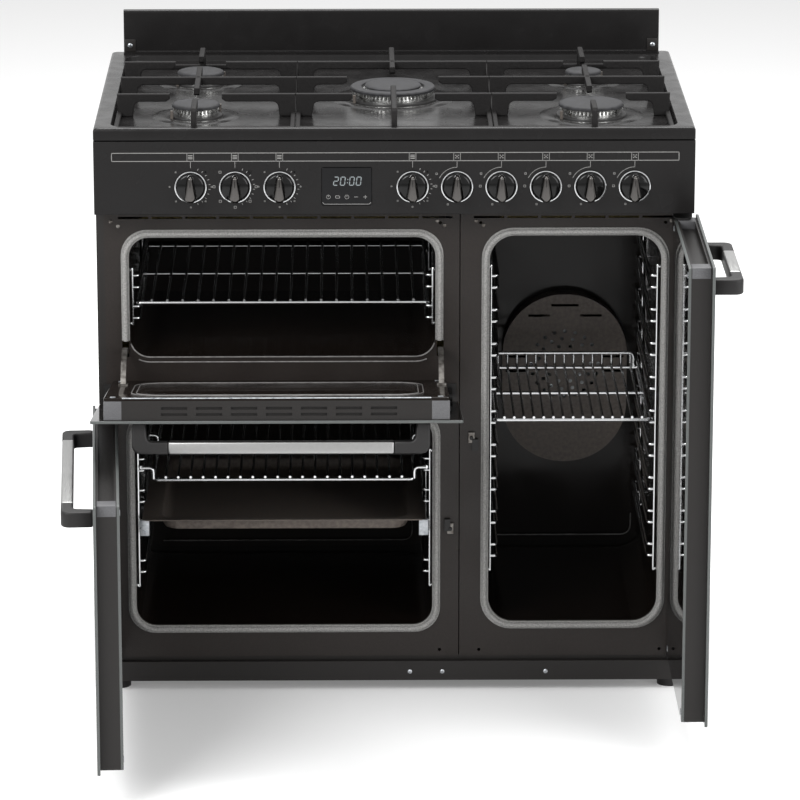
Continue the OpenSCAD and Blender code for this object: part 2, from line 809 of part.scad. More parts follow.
// Main oven's shelf: a low grid that hangs from side rods on the top runners
shelf_front = ladder_front - 5;
main_shelf_rear = 140;
main_shelf_z = main_runners[0] - pair_gap + seat;
hanger_in = 18;
main_grid_z = main_shelf_z - 19;
module main_shelf() {
    inset = shelf_in + hanger_in;
    color("#c4c6c7")
        grid(main_box[0] + inset, main_box[1] - inset, shelf_front, main_shelf_rear, main_grid_z, 19.4);
}
module main_shelf_hangers() {
    z = main_shelf_z;
    color("#c4c6c7")
        for (side = [[main_box[0] + shelf_in, hanger_in], [main_box[1] - shelf_in, -hanger_in]]) {
            x = side[0];
            turned = x + side[1];
            bar([x, shelf_front, z], [x, main_shelf_rear, z], rod_r);
            for (y = [shelf_front, (shelf_front + main_shelf_rear) / 2, main_shelf_rear]) {
                bar([x, y, z], [turned, y, z], rod_r);
                bar([turned, y, z], [turned, y, main_grid_z + rod_r + 0.05], rod_r);
            }
        }
}

// Shelf of the tall oven, with a raised back rail
back_rail = 24;
module tall_shelf() {
    x0 = tall_box[0] + shelf_in;
    x1 = tall_box[1] - shelf_in;
    rear = 80;
    z = tall_runners[4] - pair_gap + seat;
    pitch = 15;
    clear = 9.8;
    color("#c4c6c7") {
        shelf(tall_box, z, shelf_front, rear, pitch);
        bar([x0 + clear, rear, z + back_rail], [x1 - clear, rear, z + back_rail], rod_r);
        for (x = [x0 + clear, x1 - clear])
            bar([x, rear, z], [x, rear, z + back_rail], rod_r);
        for (x = [x0 + pitch : pitch : x1 - pitch / 2])
            bar([x, rear, z], [x, rear, z + back_rail], shelf_thin);
    }
}

// Enamelled tray: shallow pan with a rim that rides on the runners, and two end tabs
tray_pan = [-357, 21, -226, 110];
tray_rim = [-388, 49, -240, 122];
tray_floor = 252;
module baking_tray() {
    rim_z = main_runners[2] + wire_r + rest_gap;
    color("#3a3a3d") {
        translate([0, 0, tray_floor]) linear_extrude(wall) round_rect(tray_pan, 24);
        translate([0, 0, tray_floor + wall]) linear_extrude(rim_z - tray_floor - wall)
            ring_plate(tray_pan, 24, grown(tray_pan, -wall), 24 - wall);
        translate([0, 0, rim_z]) linear_extrude(wall)
            ring_plate(tray_rim, 4, grown(tray_pan, -wall), 24 - wall);
        for (x = [tray_rim[0] - 4, tray_rim[1] - 11])
            block([x, tray_rim[2], rim_z - 24], [x + 15, tray_rim[2] + 3, rim_z + wall]);
    }
}

// Knob: chrome ring, black base, tapered grip and shaft
module knob(x) {
    ring_y = front_y - 0.5;
    color("#c9cacb") {
        peg_y(x, knob_z, ring_y - 4, ring_y, knob_d / 2);
        along_y(ring_y - 26, ring_y - 8) {
            translate([x, knob_z - 12]) circle(9);
            translate([x, knob_z + 15]) circle(5);
            polygon([[x - 9, knob_z - 12], [x + 9, knob_z - 12],
                [x + 5, knob_z + 15], [x - 5, knob_z + 15]]);
        }
    }
    color("#1b1b1b") peg_y(x, knob_z, ring_y - 9, ring_y - 4, knob_d / 2 - 4);
    color("#8f9294") peg_y(x, knob_z, ring_y - 5, tap_end - 1, shaft_r);
}

// Doors swung from their closed place to the angle at which they are drawn
module at_grill_door() {
    translate(grill_pivot) rotate([grill_open, 0, 0]) translate(-grill_pivot) children();
}
module at_main_door() {
    translate(main_pivot) rotate([0, 0, -main_open]) translate(-main_pivot) children();
}
module at_tall_door() {
    translate(tall_pivot) rotate([0, 0, tall_open]) translate(-tall_pivot) children();
}

// Outer glass and inner pane of a closed door
module outer_pane(e) {
    color("#0d0d0f") along_y(front_y, pane_y) round_rect(e, 4);
}
module inner_pane(e) {
    color("#1a1a1e") along_y(inner_y, back_y) round_rect(e, 3);
}

// Four-sided door frame between the panes
module door_ring(e) {
    along_y(pane_y, inner_y) ring_plate(e, 3, grown(e, -stile_w), 6);
}

// Frame of a side-hung door: open channel on top, pin bores at the hinge edge
channel_depth = 12;
module side_door_frame(e, p) {
    difference() {
        door_ring(e);
        block([e[0] + stile_w, pane_y + 3, e[3] - channel_depth],
            [e[1] - stile_w, inner_y - 3, e[3] + 1]);
        for (z = [e[2] - 1, e[3] - pin_depth])
            translate([p[0], p[1], z]) cylinder(h = pin_depth + 1, r = door_pin_r + fit);
    }
}

// D-shaped handle: two round-cornered end posts and a straight bar, standing off the glass
stand_w = 22;
post_r = 12;
module handle_plan(x0, x1) {
    y0 = front_y - handle_out;
    translate([x0 + post_r, y0]) square([x1 - x0 - 2 * post_r, bar_deep]);
    for (x = [x0 + post_r, x1 - post_r])
        translate([x, y0 + post_r]) circle(post_r);
    for (x = [x0, x1 - stand_w])
        translate([x, y0 + post_r]) square([stand_w, handle_out - post_r]);
}
module handle(x0, x1, z) {
    color("#b4b6b8") translate([0, 0, z]) linear_extrude(handle_h) handle_plan(x0, x1);
}
handle_mid = -168.5;
grill_handle_x = [handle_mid - handle_l / 2, handle_mid + handle_l / 2];
tall_handle_x = [274 - tall_handle_l / 2, 274 + tall_handle_l / 2];

module grill_door_frame() {
    color("#262424") at_grill_door() difference() {
        door_ring(grill_frame);
        for (i = [0:6], y = [pane_y + 7, pane_y + 16])
            block([-343 + i * 51, y, grill_frame[3] - 4], [-305 + i * 51, y + 4, grill_frame[3] + 1]);
        for (x = [grill_frame[0] - 1, grill_frame[1] - pin_depth])
            peg_x(x, x + pin_depth + 1, grill_pivot[1], grill_pivot[2], grill_pin_r + fit);
    }
}
module grill_door_outer_glass() {
    at_grill_door() outer_pane(grill_glass);
}
module grill_door_inner_panel() {
    color("#2b2a2e") at_grill_door() difference() {
        along_y(inner_y, back_y) round_rect(grill_frame, 3);
        along_y(back_y - 1, back_y + 1)
            ring_plate(grown(grill_frame, -40), 20, grown(grill_frame, -44), 16);
    }
}
module grill_door_handle() {
    at_grill_door() handle(grill_handle_x[0], grill_handle_x[1], grill_handle_z);
}

// Curved arms that slide through the frame's slots and hold the grill door level
module grill_hinge_arms() {
    color("#9a9c9d") at_grill_door() for (x = arm_x) {
        translate([x[0], grill_pivot[1], grill_pivot[2]]) rotate([90, 0, 90])
            linear_extrude(x[1] - x[0]) intersection() {
                difference() {
                    circle(arm_r + arm_t / 2);
                    circle(arm_r - arm_t / 2);
                }
                polygon([[back_y - grill_pivot[1], -11], [120, -51], [120, 120],
                    [back_y - grill_pivot[1], 120]]);
            }
        block([x[0] - 3, back_y, 538], [x[1] + 3, back_y + 2.5, 557]);
    }
}

module main_door_frame() {
    color("#262424") at_main_door() side_door_frame(main_frame, main_pivot);
}
module main_door_outer_glass() {
    at_main_door() outer_pane(main_glass);
}
module main_door_inner_glass() {
    at_main_door() inner_pane(main_frame);
}
module main_door_handle() {
    at_main_door() handle(grill_handle_x[0], grill_handle_x[1], main_handle_z);
}
module tall_door_frame() {
    color("#262424") at_tall_door() side_door_frame(tall_frame, tall_pivot);
}
module tall_door_outer_glass() {
    at_tall_door() outer_pane(tall_glass);
}
module tall_door_inner_glass() {
    at_tall_door() inner_pane(tall_frame);
}
module tall_door_handle() {
    at_tall_door() handle(tall_handle_x[0], tall_handle_x[1], tall_handle_z);
}

module knob_grill() {
    knob(left_knobs[0]);
}
module knob_main_oven() {
    knob(left_knobs[1]);
}
module knob_tall_oven() {
    knob(left_knobs[2]);
}
module knob_light() {
    knob(right_knobs[0]);
}
module knob_rear_left() {
    knob(right_knobs[1]);
}
module knob_front_left() {
    knob(right_knobs[2]);
}
module knob_wok() {
    knob(right_knobs[3]);
}
module knob_rear_right() {
    knob(right_knobs[4]);
}
module knob_front_right() {
    knob(right_knobs[5]);
}

side_panels();
rear_panel();
base_tray();
plinth();
levelling_feet();
left_front_frame();
right_front_frame();
grill_cavity();
main_cavity();
tall_cavity();
insulation();
hob_plate();
upstand();
control_panel();
clock_module();
door_seals();
gas_rail();
switches_and_terminals();
burner_crowns();
burner_caps();
spark_igniters();
heating_elements();
fan_baffle();
fan_motor();
left_oven_ladders();
tall_ladder_left();
tall_ladder_right();
oven_lamps();
door_hardware();
pan_support_left();
pan_support_centre();
pan_support_right();
fan_blade();
grill_shelf();
main_shelf();
main_shelf_hangers();
baking_tray();
tall_shelf();
knob_grill();
knob_main_oven();
knob_tall_oven();
knob_light();
knob_rear_left();
knob_front_left();
knob_wok();
knob_front_right();
knob_rear_right();
grill_door_frame();
grill_door_outer_glass();
grill_door_inner_panel();
grill_door_handle();
grill_hinge_arms();
main_door_frame();
main_door_outer_glass();
main_door_inner_glass();
main_door_handle();
tall_door_frame();
tall_door_outer_glass();
tall_door_inner_glass();
tall_door_handle();
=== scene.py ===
"""Range cooker with a gas hob, a drop-down grill door, a main oven and a tall fan oven.

Dresses the frame with its finishes and fine parts.
"""
import functools
import json
import math

import bmesh
import bpy
from mathutils import Matrix, Vector


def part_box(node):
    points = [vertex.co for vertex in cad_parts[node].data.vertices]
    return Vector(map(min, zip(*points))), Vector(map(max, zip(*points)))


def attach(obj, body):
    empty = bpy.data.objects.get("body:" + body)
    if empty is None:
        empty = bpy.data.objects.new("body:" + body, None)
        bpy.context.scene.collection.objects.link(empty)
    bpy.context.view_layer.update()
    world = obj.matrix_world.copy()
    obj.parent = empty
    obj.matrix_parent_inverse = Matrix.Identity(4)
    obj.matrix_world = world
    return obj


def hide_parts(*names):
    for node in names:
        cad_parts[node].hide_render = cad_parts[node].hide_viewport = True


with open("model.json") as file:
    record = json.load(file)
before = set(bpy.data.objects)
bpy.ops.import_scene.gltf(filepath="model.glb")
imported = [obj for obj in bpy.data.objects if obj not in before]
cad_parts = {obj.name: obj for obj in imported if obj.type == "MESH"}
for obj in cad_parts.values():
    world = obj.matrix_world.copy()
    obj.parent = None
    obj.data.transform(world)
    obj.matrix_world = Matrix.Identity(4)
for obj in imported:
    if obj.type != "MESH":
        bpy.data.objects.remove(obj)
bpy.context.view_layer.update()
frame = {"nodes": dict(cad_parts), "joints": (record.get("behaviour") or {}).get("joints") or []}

bl_info = {
    "name": "Range cooker with double oven",
    "version": (1, 0, 0),
    "blender": (4, 5, 0),
    "location": "View3D > Sidebar > Cooker",
    "description": "Dresses the frame of a free-standing range cooker with its finishes and fine parts",
    "category": "Object",
}

MM = 0.001
JOINTS = {joint["name"]: joint for joint in frame["joints"]}


def box_of(node_name):
    """Edges of a node at rest in metres: left, right, front, rear, bottom, top."""
    low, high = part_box(node_name)
    return low.x, high.x, low.y, high.y, low.z, high.z


# ---------------------------------------------------------------------------------------------
# Materials


def linear(hex_colour):
    """Linear RGBA of an sRGB hex colour."""
    parts = [int(hex_colour[i:i + 2], 16) / 255 for i in (1, 3, 5)]
    return (*[p / 12.92 if p <= 0.04045 else ((p + 0.055) / 1.055) ** 2.4 for p in parts], 1.0)


def add_node(tree, kind, sockets=None, **settings):
    """Adds a node, sets its properties, and fills its sockets with values or links."""
    made = tree.nodes.new(kind)
    for key, value in settings.items():
        setattr(made, key, value)
    for key, value in (sockets or {}).items():
        if isinstance(value, bpy.types.NodeSocket):
            tree.links.new(value, made.inputs[key])
        else:
            made.inputs[key].default_value = value
    return made


def emptied_tree(owner):
    """The node tree of a material or a world, with its nodes cleared away."""
    owner.use_nodes = True
    owner.node_tree.nodes.clear()
    return owner.node_tree


def as_rgba(colour):
    """A hex colour, or a colour from the panel, as linear RGBA."""
    return linear(colour) if isinstance(colour, str) else (*colour[:3], 1.0)


def shaded(name, colour, roughness, metallic=0.0, **sockets):
    """A material with one Principled shader; returns the material, its tree and the shader."""
    material = bpy.data.materials.new(name)
    tree = emptied_tree(material)
    values = {"Base Color": as_rgba(colour), "Roughness": roughness, "Metallic": metallic}
    values.update({key.replace("_", " "): value for key, value in sockets.items()})
    shader = add_node(tree, "ShaderNodeBsdfPrincipled", values)
    add_node(tree, "ShaderNodeOutputMaterial", {"Surface": shader.outputs[0]})
    material.diffuse_color = as_rgba(colour)
    return material, tree, shader


def grain(tree, shader, size, tones=None, shades=None, roughness=None, bump=0.0, stretch=(1, 1, 1),
          detail=4.0, spread=(0.35, 0.65), cells=None):
    """Drives colour, roughness and relief from one pattern whose features are size millimetres wide.

    The two tones are hex values, or shades of the shader's own colour. The pattern is noise, or cells
    when the name of the cell pattern's output is given.
    """
    if shades:
        own = shader.inputs["Base Color"].default_value[:3]
        tones = [[min(part * shade, 1.0) for part in own] for shade in shades]
    spot = add_node(tree, "ShaderNodeTexCoord")
    scaled = add_node(tree, "ShaderNodeMapping", {
        "Vector": spot.outputs["Object"], "Scale": [s / (size * MM) for s in stretch]})
    if cells:
        pattern = add_node(tree, "ShaderNodeTexVoronoi", {"Vector": scaled.outputs[0], "Scale": 1.0})
        value = pattern.outputs[cells]
    else:
        pattern = add_node(tree, "ShaderNodeTexNoise", {
            "Vector": scaled.outputs[0], "Scale": 1.0, "Detail": detail})
        value = pattern.outputs["Fac"]
    share = add_node(tree, "ShaderNodeMapRange", {
        "Value": value, "From Min": spread[0], "From Max": spread[1]}).outputs[0]
    if tones:
        mix = add_node(tree, "ShaderNodeMix", {
            0: share, 6: as_rgba(tones[0]), 7: as_rgba(tones[1])}, data_type="RGBA")
        tree.links.new(mix.outputs[2], shader.inputs["Base Color"])
    if roughness:
        rough = add_node(tree, "ShaderNodeMapRange", {
            "Value": share, "To Min": roughness[0], "To Max": roughness[1]})
        tree.links.new(rough.outputs[0], shader.inputs["Roughness"])
    if bump:
        relief = add_node(tree, "ShaderNodeBump", {"Height": value, "Distance": bump * MM, "Strength": 1.0})
        if shader.inputs["Normal"].is_linked:
            tree.links.new(shader.inputs["Normal"].links[0].from_socket, relief.inputs["Normal"])
        tree.links.new(relief.outputs[0], shader.inputs["Normal"])


@functools.cache
def vitreous_enamel():
    """Black glass fused on pressed steel: gloss with a faint wave 30 mm long and specks 1.2 mm wide."""
    material, tree, shader = shaded("vitreous_enamel_fused_on_steel", colours().enamel, 0.24,
                                    IOR=1.5, Specular_IOR_Level=0.16)
    grain(tree, shader, 30, roughness=(0.2, 0.28), bump=0.004, detail=1.0)
    grain(tree, shader, 1.2, shades=(0.85, 1.15), detail=2.0)
    return material


@functools.cache
def oven_enamel():
    """Ground-coat enamel inside the ovens: dark brown gloss with pale flecks about 1.6 mm wide."""
    material, tree, shader = shaded("ground_coat_enamel_fired", colours().oven, 0.14,
                                    IOR=1.5, Specular_IOR_Level=0.14)
    grain(tree, shader, 90, roughness=(0.1, 0.2), bump=0.2, detail=2.0)
    grain(tree, shader, 1.6, shades=(0.8, 2.2), spread=(0.56, 0.8), detail=3.0)
    return material


@functools.cache
def frame_enamel():
    """Warm black enamel on the front frames: half gloss over the pressing's wave, 60 mm long."""
    material, tree, shader = shaded("vitreous_enamel_fused_warm_black", colours().frame, 0.34,
                                    IOR=1.5, Specular_IOR_Level=0.2)
    grain(tree, shader, 60, roughness=(0.28, 0.4), bump=0.15, detail=1.0)
    grain(tree, shader, 1.2, shades=(0.82, 1.18), detail=2.0)
    return material


@functools.cache
def painted_highlight_enamel():
    """Rounded lip of a pressed opening, coloured light grey as a painted highlight along the edge, mottled
    over 8 mm lengths.
    """
    material, tree, shader = shaded("enamel_edge_painted_highlight", "#6f6d6c", 0.4, IOR=1.5)
    grain(tree, shader, 8, shades=(0.7, 1.2), roughness=(0.3, 0.5))
    return material


@functools.cache
def tray_enamel():
    """Grey-brown enamel on the tray and the fan's cover, dulled by baking, mottled over 6 mm."""
    material, tree, shader = shaded("enamel_fired_dulled_by_baking", "#6a625c", 0.45,
                                    IOR=1.5, Specular_IOR_Level=0.3)
    grain(tree, shader, 6, shades=(0.75, 1.2), roughness=(0.38, 0.55), bump=0.05)
    return material


@functools.cache
def baked_paint():
    """Black powder coat baked on sheet steel: satin, with a fine orange peel about 1 mm wide."""
    material, tree, shader = shaded("powder_coat_baked_on_steel", colours().paint, 0.42,
                                    IOR=1.5, Specular_IOR_Level=0.25)
    grain(tree, shader, 1.0, shades=(0.85, 1.15), roughness=(0.36, 0.48), bump=0.03)
    return material


@functools.cache
def galvanised_steel():
    """Hot-dip zinc: a mosaic of crystals 12 mm wide in two greys."""
    material, tree, shader = shaded("galvanised_steel_hot_dipped", "#9a9ea0", 0.42, metallic=0.9)
    grain(tree, shader, 12, tones=("#8c9193", "#a6aaac"), roughness=(0.34, 0.52),
          spread=(0.1, 0.9), cells="Color")
    return material


@functools.cache
def cast_iron():
    """Enamelled casting: matt, with the sand mould's 1.5 mm grain; the grain is drawn a little coarse."""
    material, tree, shader = shaded("cast_iron_matt_enamelled", colours().iron, 0.6,
                                    IOR=1.5, Specular_IOR_Level=0.1)
    grain(tree, shader, 1.5, shades=(0.7, 1.4), roughness=(0.52, 0.7), bump=0.12)
    return material


@functools.cache
def cap_enamel():
    """Matt grey enamel on the pressed burner caps, mottled by heat over about 9 mm."""
    material, tree, shader = shaded("burner_cap_enamel_matt", "#303031", 0.6,
                                    IOR=1.5, Specular_IOR_Level=0.15)
    grain(tree, shader, 9, tones=("#29292a", "#3a3a3c"), roughness=(0.54, 0.68))
    grain(tree, shader, 0.8, bump=0.05)
    return material


@functools.cache
def burner_alloy():
    """Die-cast aluminium, tumbled: bright and slightly clouded over 5 mm."""
    material, tree, shader = shaded("aluminium_die_cast_tumbled", "#b0b0ae", 0.16, metallic=1.0)
    grain(tree, shader, 5, tones=("#a0a09e", "#c2c2c0"), roughness=(0.14, 0.28), bump=0.02)
    return material


@functools.cache
def chromed_wire():
    """Chrome plate on drawn steel wire: bright, with drawing lines drawn 0.6 mm wide so that they show."""
    material, tree, shader = shaded("steel_wire_chrome_plated", "#c6c7c8", 0.16, metallic=1.0)
    grain(tree, shader, 0.6, tones=("#aeafb0", "#d6d7d8"), roughness=(0.1, 0.26), bump=0.01)
    return material


@functools.cache
def zinc_plate():
    """Bright zinc on pressed steel: cool grey, clouded over 7 mm."""
    material, tree, shader = shaded("steel_zinc_plated", "#a4a7aa", 0.34, metallic=1.0)
    grain(tree, shader, 7, tones=("#8f9397", "#b5b8bb"), roughness=(0.26, 0.44), bump=0.02)
    return material


@functools.cache
def worn_zinc():
    """Zinc-plated hinge arms, screws and catches, dulled and browned by heat in patches 9 mm wide."""
    material, tree, shader = shaded("steel_zinc_plated_heat_dulled", "#6b6864", 0.4, metallic=0.9)
    grain(tree, shader, 9, tones=("#55514d", "#84817d"), roughness=(0.32, 0.5), bump=0.02)
    return material


@functools.cache
def brushed_aluminium():
    """Anodised aluminium, brushed across the bar: lines 0.7 mm wide, drawn out along Y."""
    material, tree, shader = shaded("aluminium_brushed_anodised", colours().handle, 0.34, metallic=1.0)
    grain(tree, shader, 0.7, shades=(0.8, 1.2), roughness=(0.28, 0.44), bump=0.012,
          stretch=(1, 0.02, 1), detail=2.0)
    return material


@functools.cache
def black_chrome():
    """Zinc alloy knob, polished and plated in black chrome, with wiping marks 0.6 mm wide."""
    material, tree, shader = shaded("zinc_alloy_black_chrome", "#504e4d", 0.12, metallic=1.0)
    grain(tree, shader, 0.6, tones=("#464443", "#5c5a58"), roughness=(0.09, 0.17), bump=0.004)
    return material


@functools.cache
def gloss_black():
    """Gloss-black moulded disc under a knob's grip, with a polishing haze 5 mm wide."""
    material, tree, shader = shaded("phenolic_moulded_gloss_black", "#0b0b0b", 0.1,
                                    IOR=1.5, Specular_IOR_Level=0.25)
    grain(tree, shader, 5, roughness=(0.07, 0.14))
    return material


@functools.cache
def polished_chrome():
    """Polished chrome ring: mirror bright with faint wiping marks 3 mm wide."""
    material, tree, shader = shaded("zinc_alloy_chrome_polished", "#d2d3d4", 0.08, metallic=1.0)
    grain(tree, shader, 3, roughness=(0.05, 0.14))
    return material


@functools.cache
def woven_seal():
    """Braided glass-fibre seal: light grey, matt, its braid 2.2 mm wide."""
    material, tree, shader = shaded("glass_fibre_braid_woven", colours().seal, 0.75, Sheen_Weight=0.2)
    grain(tree, shader, 2.2, shades=(0.7, 1.25), bump=0.5, spread=(0.1, 0.7), cells="Distance")
    return material


@functools.cache
def mineral_wool():
    """Mineral wool blanket: matted fibres about 4 mm across the tufts."""
    material, tree, shader = shaded("mineral_wool_felted", "#b8a56a", 0.95, Sheen_Weight=0.3)
    grain(tree, shader, 4, tones=("#9d8a52", "#cdbb82"), bump=1.2, detail=8.0)
    return material


@functools.cache
def machined_brass():
    """Turned brass of the gas rail and its taps: turning marks 0.8 mm wide."""
    material, tree, shader = shaded("brass_turned", "#b9974f", 0.3, metallic=1.0)
    grain(tree, shader, 0.8, tones=("#a5843f", "#c9a862"), roughness=(0.22, 0.4), bump=0.02,
          stretch=(1, 1, 0.2))
    return material


@functools.cache
def steatite():
    """Glazed steatite pin, smoked brown by the flame, with pores 0.7 mm wide."""
    material, tree, shader = shaded("steatite_glazed_smoked", "#5a5450", 0.3, IOR=1.5)
    grain(tree, shader, 0.7, tones=("#4a4541", "#6d6660"), bump=0.02)
    return material


@functools.cache
def black_nylon():
    """Glass-filled nylon, moulded: matt black with spark-eroded grain 0.8 mm wide."""
    material, tree, shader = shaded("nylon_moulded_textured", "#1c1b1b", 0.45,
                                    IOR=1.5, Specular_IOR_Level=0.3)
    grain(tree, shader, 0.8, tones=("#171616", "#232222"), roughness=(0.42, 0.58), bump=0.04)
    return material


@functools.cache
def grey_nylon():
    """Heat-resistant nylon end caps, moulded in grey, with spark-eroded grain 0.8 mm wide."""
    material, tree, shader = shaded("nylon_moulded_grey", "#575759", 0.45, IOR=1.5, Specular_IOR_Level=0.3)
    grain(tree, shader, 0.8, tones=("#4e4e50", "#606062"), bump=0.03)
    return material


@functools.cache
def phenolic():
    """Moulded phenolic switch cases: cream with flow marks 6 mm wide."""
    material, tree, shader = shaded("phenolic_moulded", "#d8d0bb", 0.4, IOR=1.55)
    grain(tree, shader, 6, tones=("#cdc4ac", "#e0d9c6"), bump=0.02)
    return material


@functools.cache
def heater_sheath():
    """Nickel-alloy heater tube, oxidised brown and grey in patches 14 mm long."""
    material, tree, shader = shaded("nickel_alloy_oxidised", "#5a534c", 0.5, metallic=0.8)
    grain(tree, shader, 14, tones=("#47413b", "#756d64"), roughness=(0.4, 0.6), bump=0.03)
    return material


@functools.cache
def door_glass():
    """Toughened glass enamelled black behind: a dark mirror, dusted over 30 mm."""
    material, tree, shader = shaded("toughened_glass_black_backed", colours().glass, 0.05,
                                    IOR=1.52, Specular_IOR_Level=0.3)
    grain(tree, shader, 30, roughness=(0.03, 0.09), detail=6.0)
    return material


@functools.cache
def ground_glass():
    """Ground edge of the door glass: a grey-green matt line, with grinding marks 0.6 mm wide."""
    material, tree, shader = shaded("glass_edge_ground", "#4a4d4c", 0.4, IOR=1.52)
    grain(tree, shader, 0.6, tones=("#404342", "#575a59"), roughness=(0.3, 0.5))
    return material


@functools.cache
def inner_glass():
    """Heat-reflecting inner pane: its metal-oxide coat makes it a grey mirror."""
    material, tree, shader = shaded("toughened_glass_reflective_coat", "#0e0d0e", 0.03, metallic=0.3)
    grain(tree, shader, 40, roughness=(0.015, 0.05), detail=6.0)
    return material


@functools.cache
def display_glass():
    """Smoked acrylic window of the clock, with a haze 20 mm wide."""
    material, tree, shader = shaded("acrylic_smoked_cast", "#0b0b0d", 0.12, IOR=1.49, Specular_IOR_Level=0.2)
    grain(tree, shader, 20, roughness=(0.08, 0.16))
    return material


@functools.cache
def lamp_glass():
    """Pressed lamp glass, grey over its holder, rippled over 8 mm."""
    material, tree, shader = shaded("borosilicate_glass_pressed", "#6f716d", 0.12, IOR=1.47)
    grain(tree, shader, 8, tones=("#5f615d", "#82847f"), bump=0.1)
    return material


@functools.cache
def printed_ink():
    """Silk-screened ceramic ink, pale grey, with a dot screen 0.5 mm wide."""
    material, tree, shader = shaded("ceramic_ink_screen_printed", colours().ink, 0.5)
    grain(tree, shader, 0.5, shades=(0.85, 1.15))
    return material


@functools.cache
def lit_digits():
    """Light-emitting segments of the clock, seen through the smoked window."""
    material, tree, shader = shaded("display_segment_lit", "#6b7274", 0.5, Emission_Strength=0.1)
    shader.inputs["Emission Color"].default_value = linear("#e6edf0")
    grain(tree, shader, 2, shades=(0.9, 1.1))
    return material


# ---------------------------------------------------------------------------------------------
# Shapes

PLANES = {
    "XY": Matrix.Identity(4),
    "XZ": Matrix.Rotation(math.radians(90), 4, "X"),
    "YZ": Matrix.Rotation(math.radians(90), 4, "Z") @ Matrix.Rotation(math.radians(90), 4, "X"),
}
AXIS_OF = {"XY": Vector((0, 0, 1)), "XZ": Vector((0, 1, 0)), "YZ": Vector((1, 0, 0))}


def added(name, data):
    """A new object in the scene that holds the data."""
    piece = bpy.data.objects.new(name, data)
    bpy.context.scene.collection.objects.link(piece)
    return piece


def mesh_piece(name, mesh, material, smooth=40):
    """A new object in the scene from a mesh, smooth except across edges sharper than the angle."""
    mesh.materials.clear()
    mesh.materials.append(material)
    for face in mesh.polygons:
        face.use_smooth = True
    mesh.set_sharp_from_angle(angle=math.radians(smooth))
    return added(name, mesh)


def from_bmesh(name, bm, material, smooth=40):
    """Turns a bmesh into a piece, with its faces looking outwards."""
    mesh = bpy.data.meshes.new(name)
    bmesh.ops.recalc_face_normals(bm, faces=bm.faces)
    bm.to_mesh(mesh)
    bm.free()
    return mesh_piece(name, mesh, material, smooth)


def add_block(bm, low, high, radius=0.0, segments=3):
    """Adds a block with rounded edges between two corners."""
    size = [h - l for l, h in zip(low, high)]
    middle = [(h + l) / 2 for l, h in zip(low, high)]
    made = bmesh.ops.create_cube(bm, size=1.0)["verts"]
    bmesh.ops.scale(bm, vec=size, verts=made)
    bmesh.ops.translate(bm, vec=middle, verts=made)
    if radius:
        edges = list({edge for vert in made for edge in vert.link_edges})
        bmesh.ops.bevel(bm, geom=edges, offset=radius, segments=segments, affect="EDGES", profile=0.5)


def blocks(name, spans, material, radius=0.8, segments=3):
    """One piece of rounded blocks; each span is left, right, front, rear, bottom, top in millimetres."""
    bm = bmesh.new()
    for x0, x1, y0, y1, z0, z1 in spans:
        add_block(bm, (x0 * MM, y0 * MM, z0 * MM), (x1 * MM, y1 * MM, z1 * MM), radius * MM, segments)
    return from_bmesh(name, bm, material)


def round_rect(left, right, bottom, top, radius, steps=8):
    """Outline of a rectangle with round corners."""
    corners = ((right - radius, top - radius, 0), (left + radius, top - radius, 90),
               (left + radius, bottom + radius, 180), (right - radius, bottom + radius, 270))
    return [(x + radius * math.cos(math.radians(turn + 90 * i / steps)),
             y + radius * math.sin(math.radians(turn + 90 * i / steps)))
            for x, y, turn in corners for i in range(steps + 1)]


def circle(x, y, radius, steps=32):
    """Outline of a circle."""
    return [(x + radius * math.cos(2 * math.pi * i / steps), y + radius * math.sin(2 * math.pi * i / steps))
            for i in range(steps)]


def fill_curve(name, outlines, depth, bevel):
    """A flat filled curve, in millimetres, whose inner outlines are holes."""
    curve = bpy.data.curves.new(name, "CURVE")
    curve.dimensions = "2D"
    curve.fill_mode = "BOTH"
    for outline in outlines:
        spline = curve.splines.new("POLY")
        spline.points.add(len(outline) - 1)
        for point, (x, y) in zip(spline.points, outline):
            point.co = (x * MM, y * MM, 0, 1)
        spline.use_cyclic_u = True
    curve.extrude = max(depth / 2 - bevel, 0) * MM
    curve.bevel_depth = bevel * MM
    curve.bevel_resolution = 2
    curve.offset = -bevel * MM
    return curve


def curve_to_mesh(name, curve, material, matrix=None, smooth=40):
    """Turns a curve into a mesh piece."""
    holder = added(name, curve)
    shapes = bpy.context.evaluated_depsgraph_get()
    mesh = bpy.data.meshes.new_from_object(holder.evaluated_get(shapes))
    bpy.data.objects.remove(holder)
    bpy.data.curves.remove(curve)
    if matrix:
        mesh.transform(matrix)
    return mesh_piece(name, mesh, material, smooth)


def plate(name, outlines, plane, low, high, material, bevel=0.5):
    """A flat plate between two heights on the axis across its plane; all in millimetres."""
    curve = fill_curve(name, outlines, high - low, bevel)
    shift = Matrix.Translation(AXIS_OF[plane] * (low + high) / 2 * MM)
    return curve_to_mesh(name, curve, material, shift @ PLANES[plane])


def tubes(name, paths, radius, material, closed=False, sides=3):
    """Round tubes along paths of points in millimetres, joined into one piece."""
    curve = bpy.data.curves.new(name, "CURVE")
    curve.dimensions = "3D"
    curve.bevel_depth = radius * MM
    curve.bevel_resolution = sides
    curve.use_fill_caps = True
    for path in paths:
        spline = curve.splines.new("POLY")
        spline.points.add(len(path) - 1)
        for point, spot in zip(spline.points, path):
            point.co = (*[v * MM for v in spot], 1)
        spline.use_cyclic_u = closed
    return curve_to_mesh(name, curve, material, smooth=80)


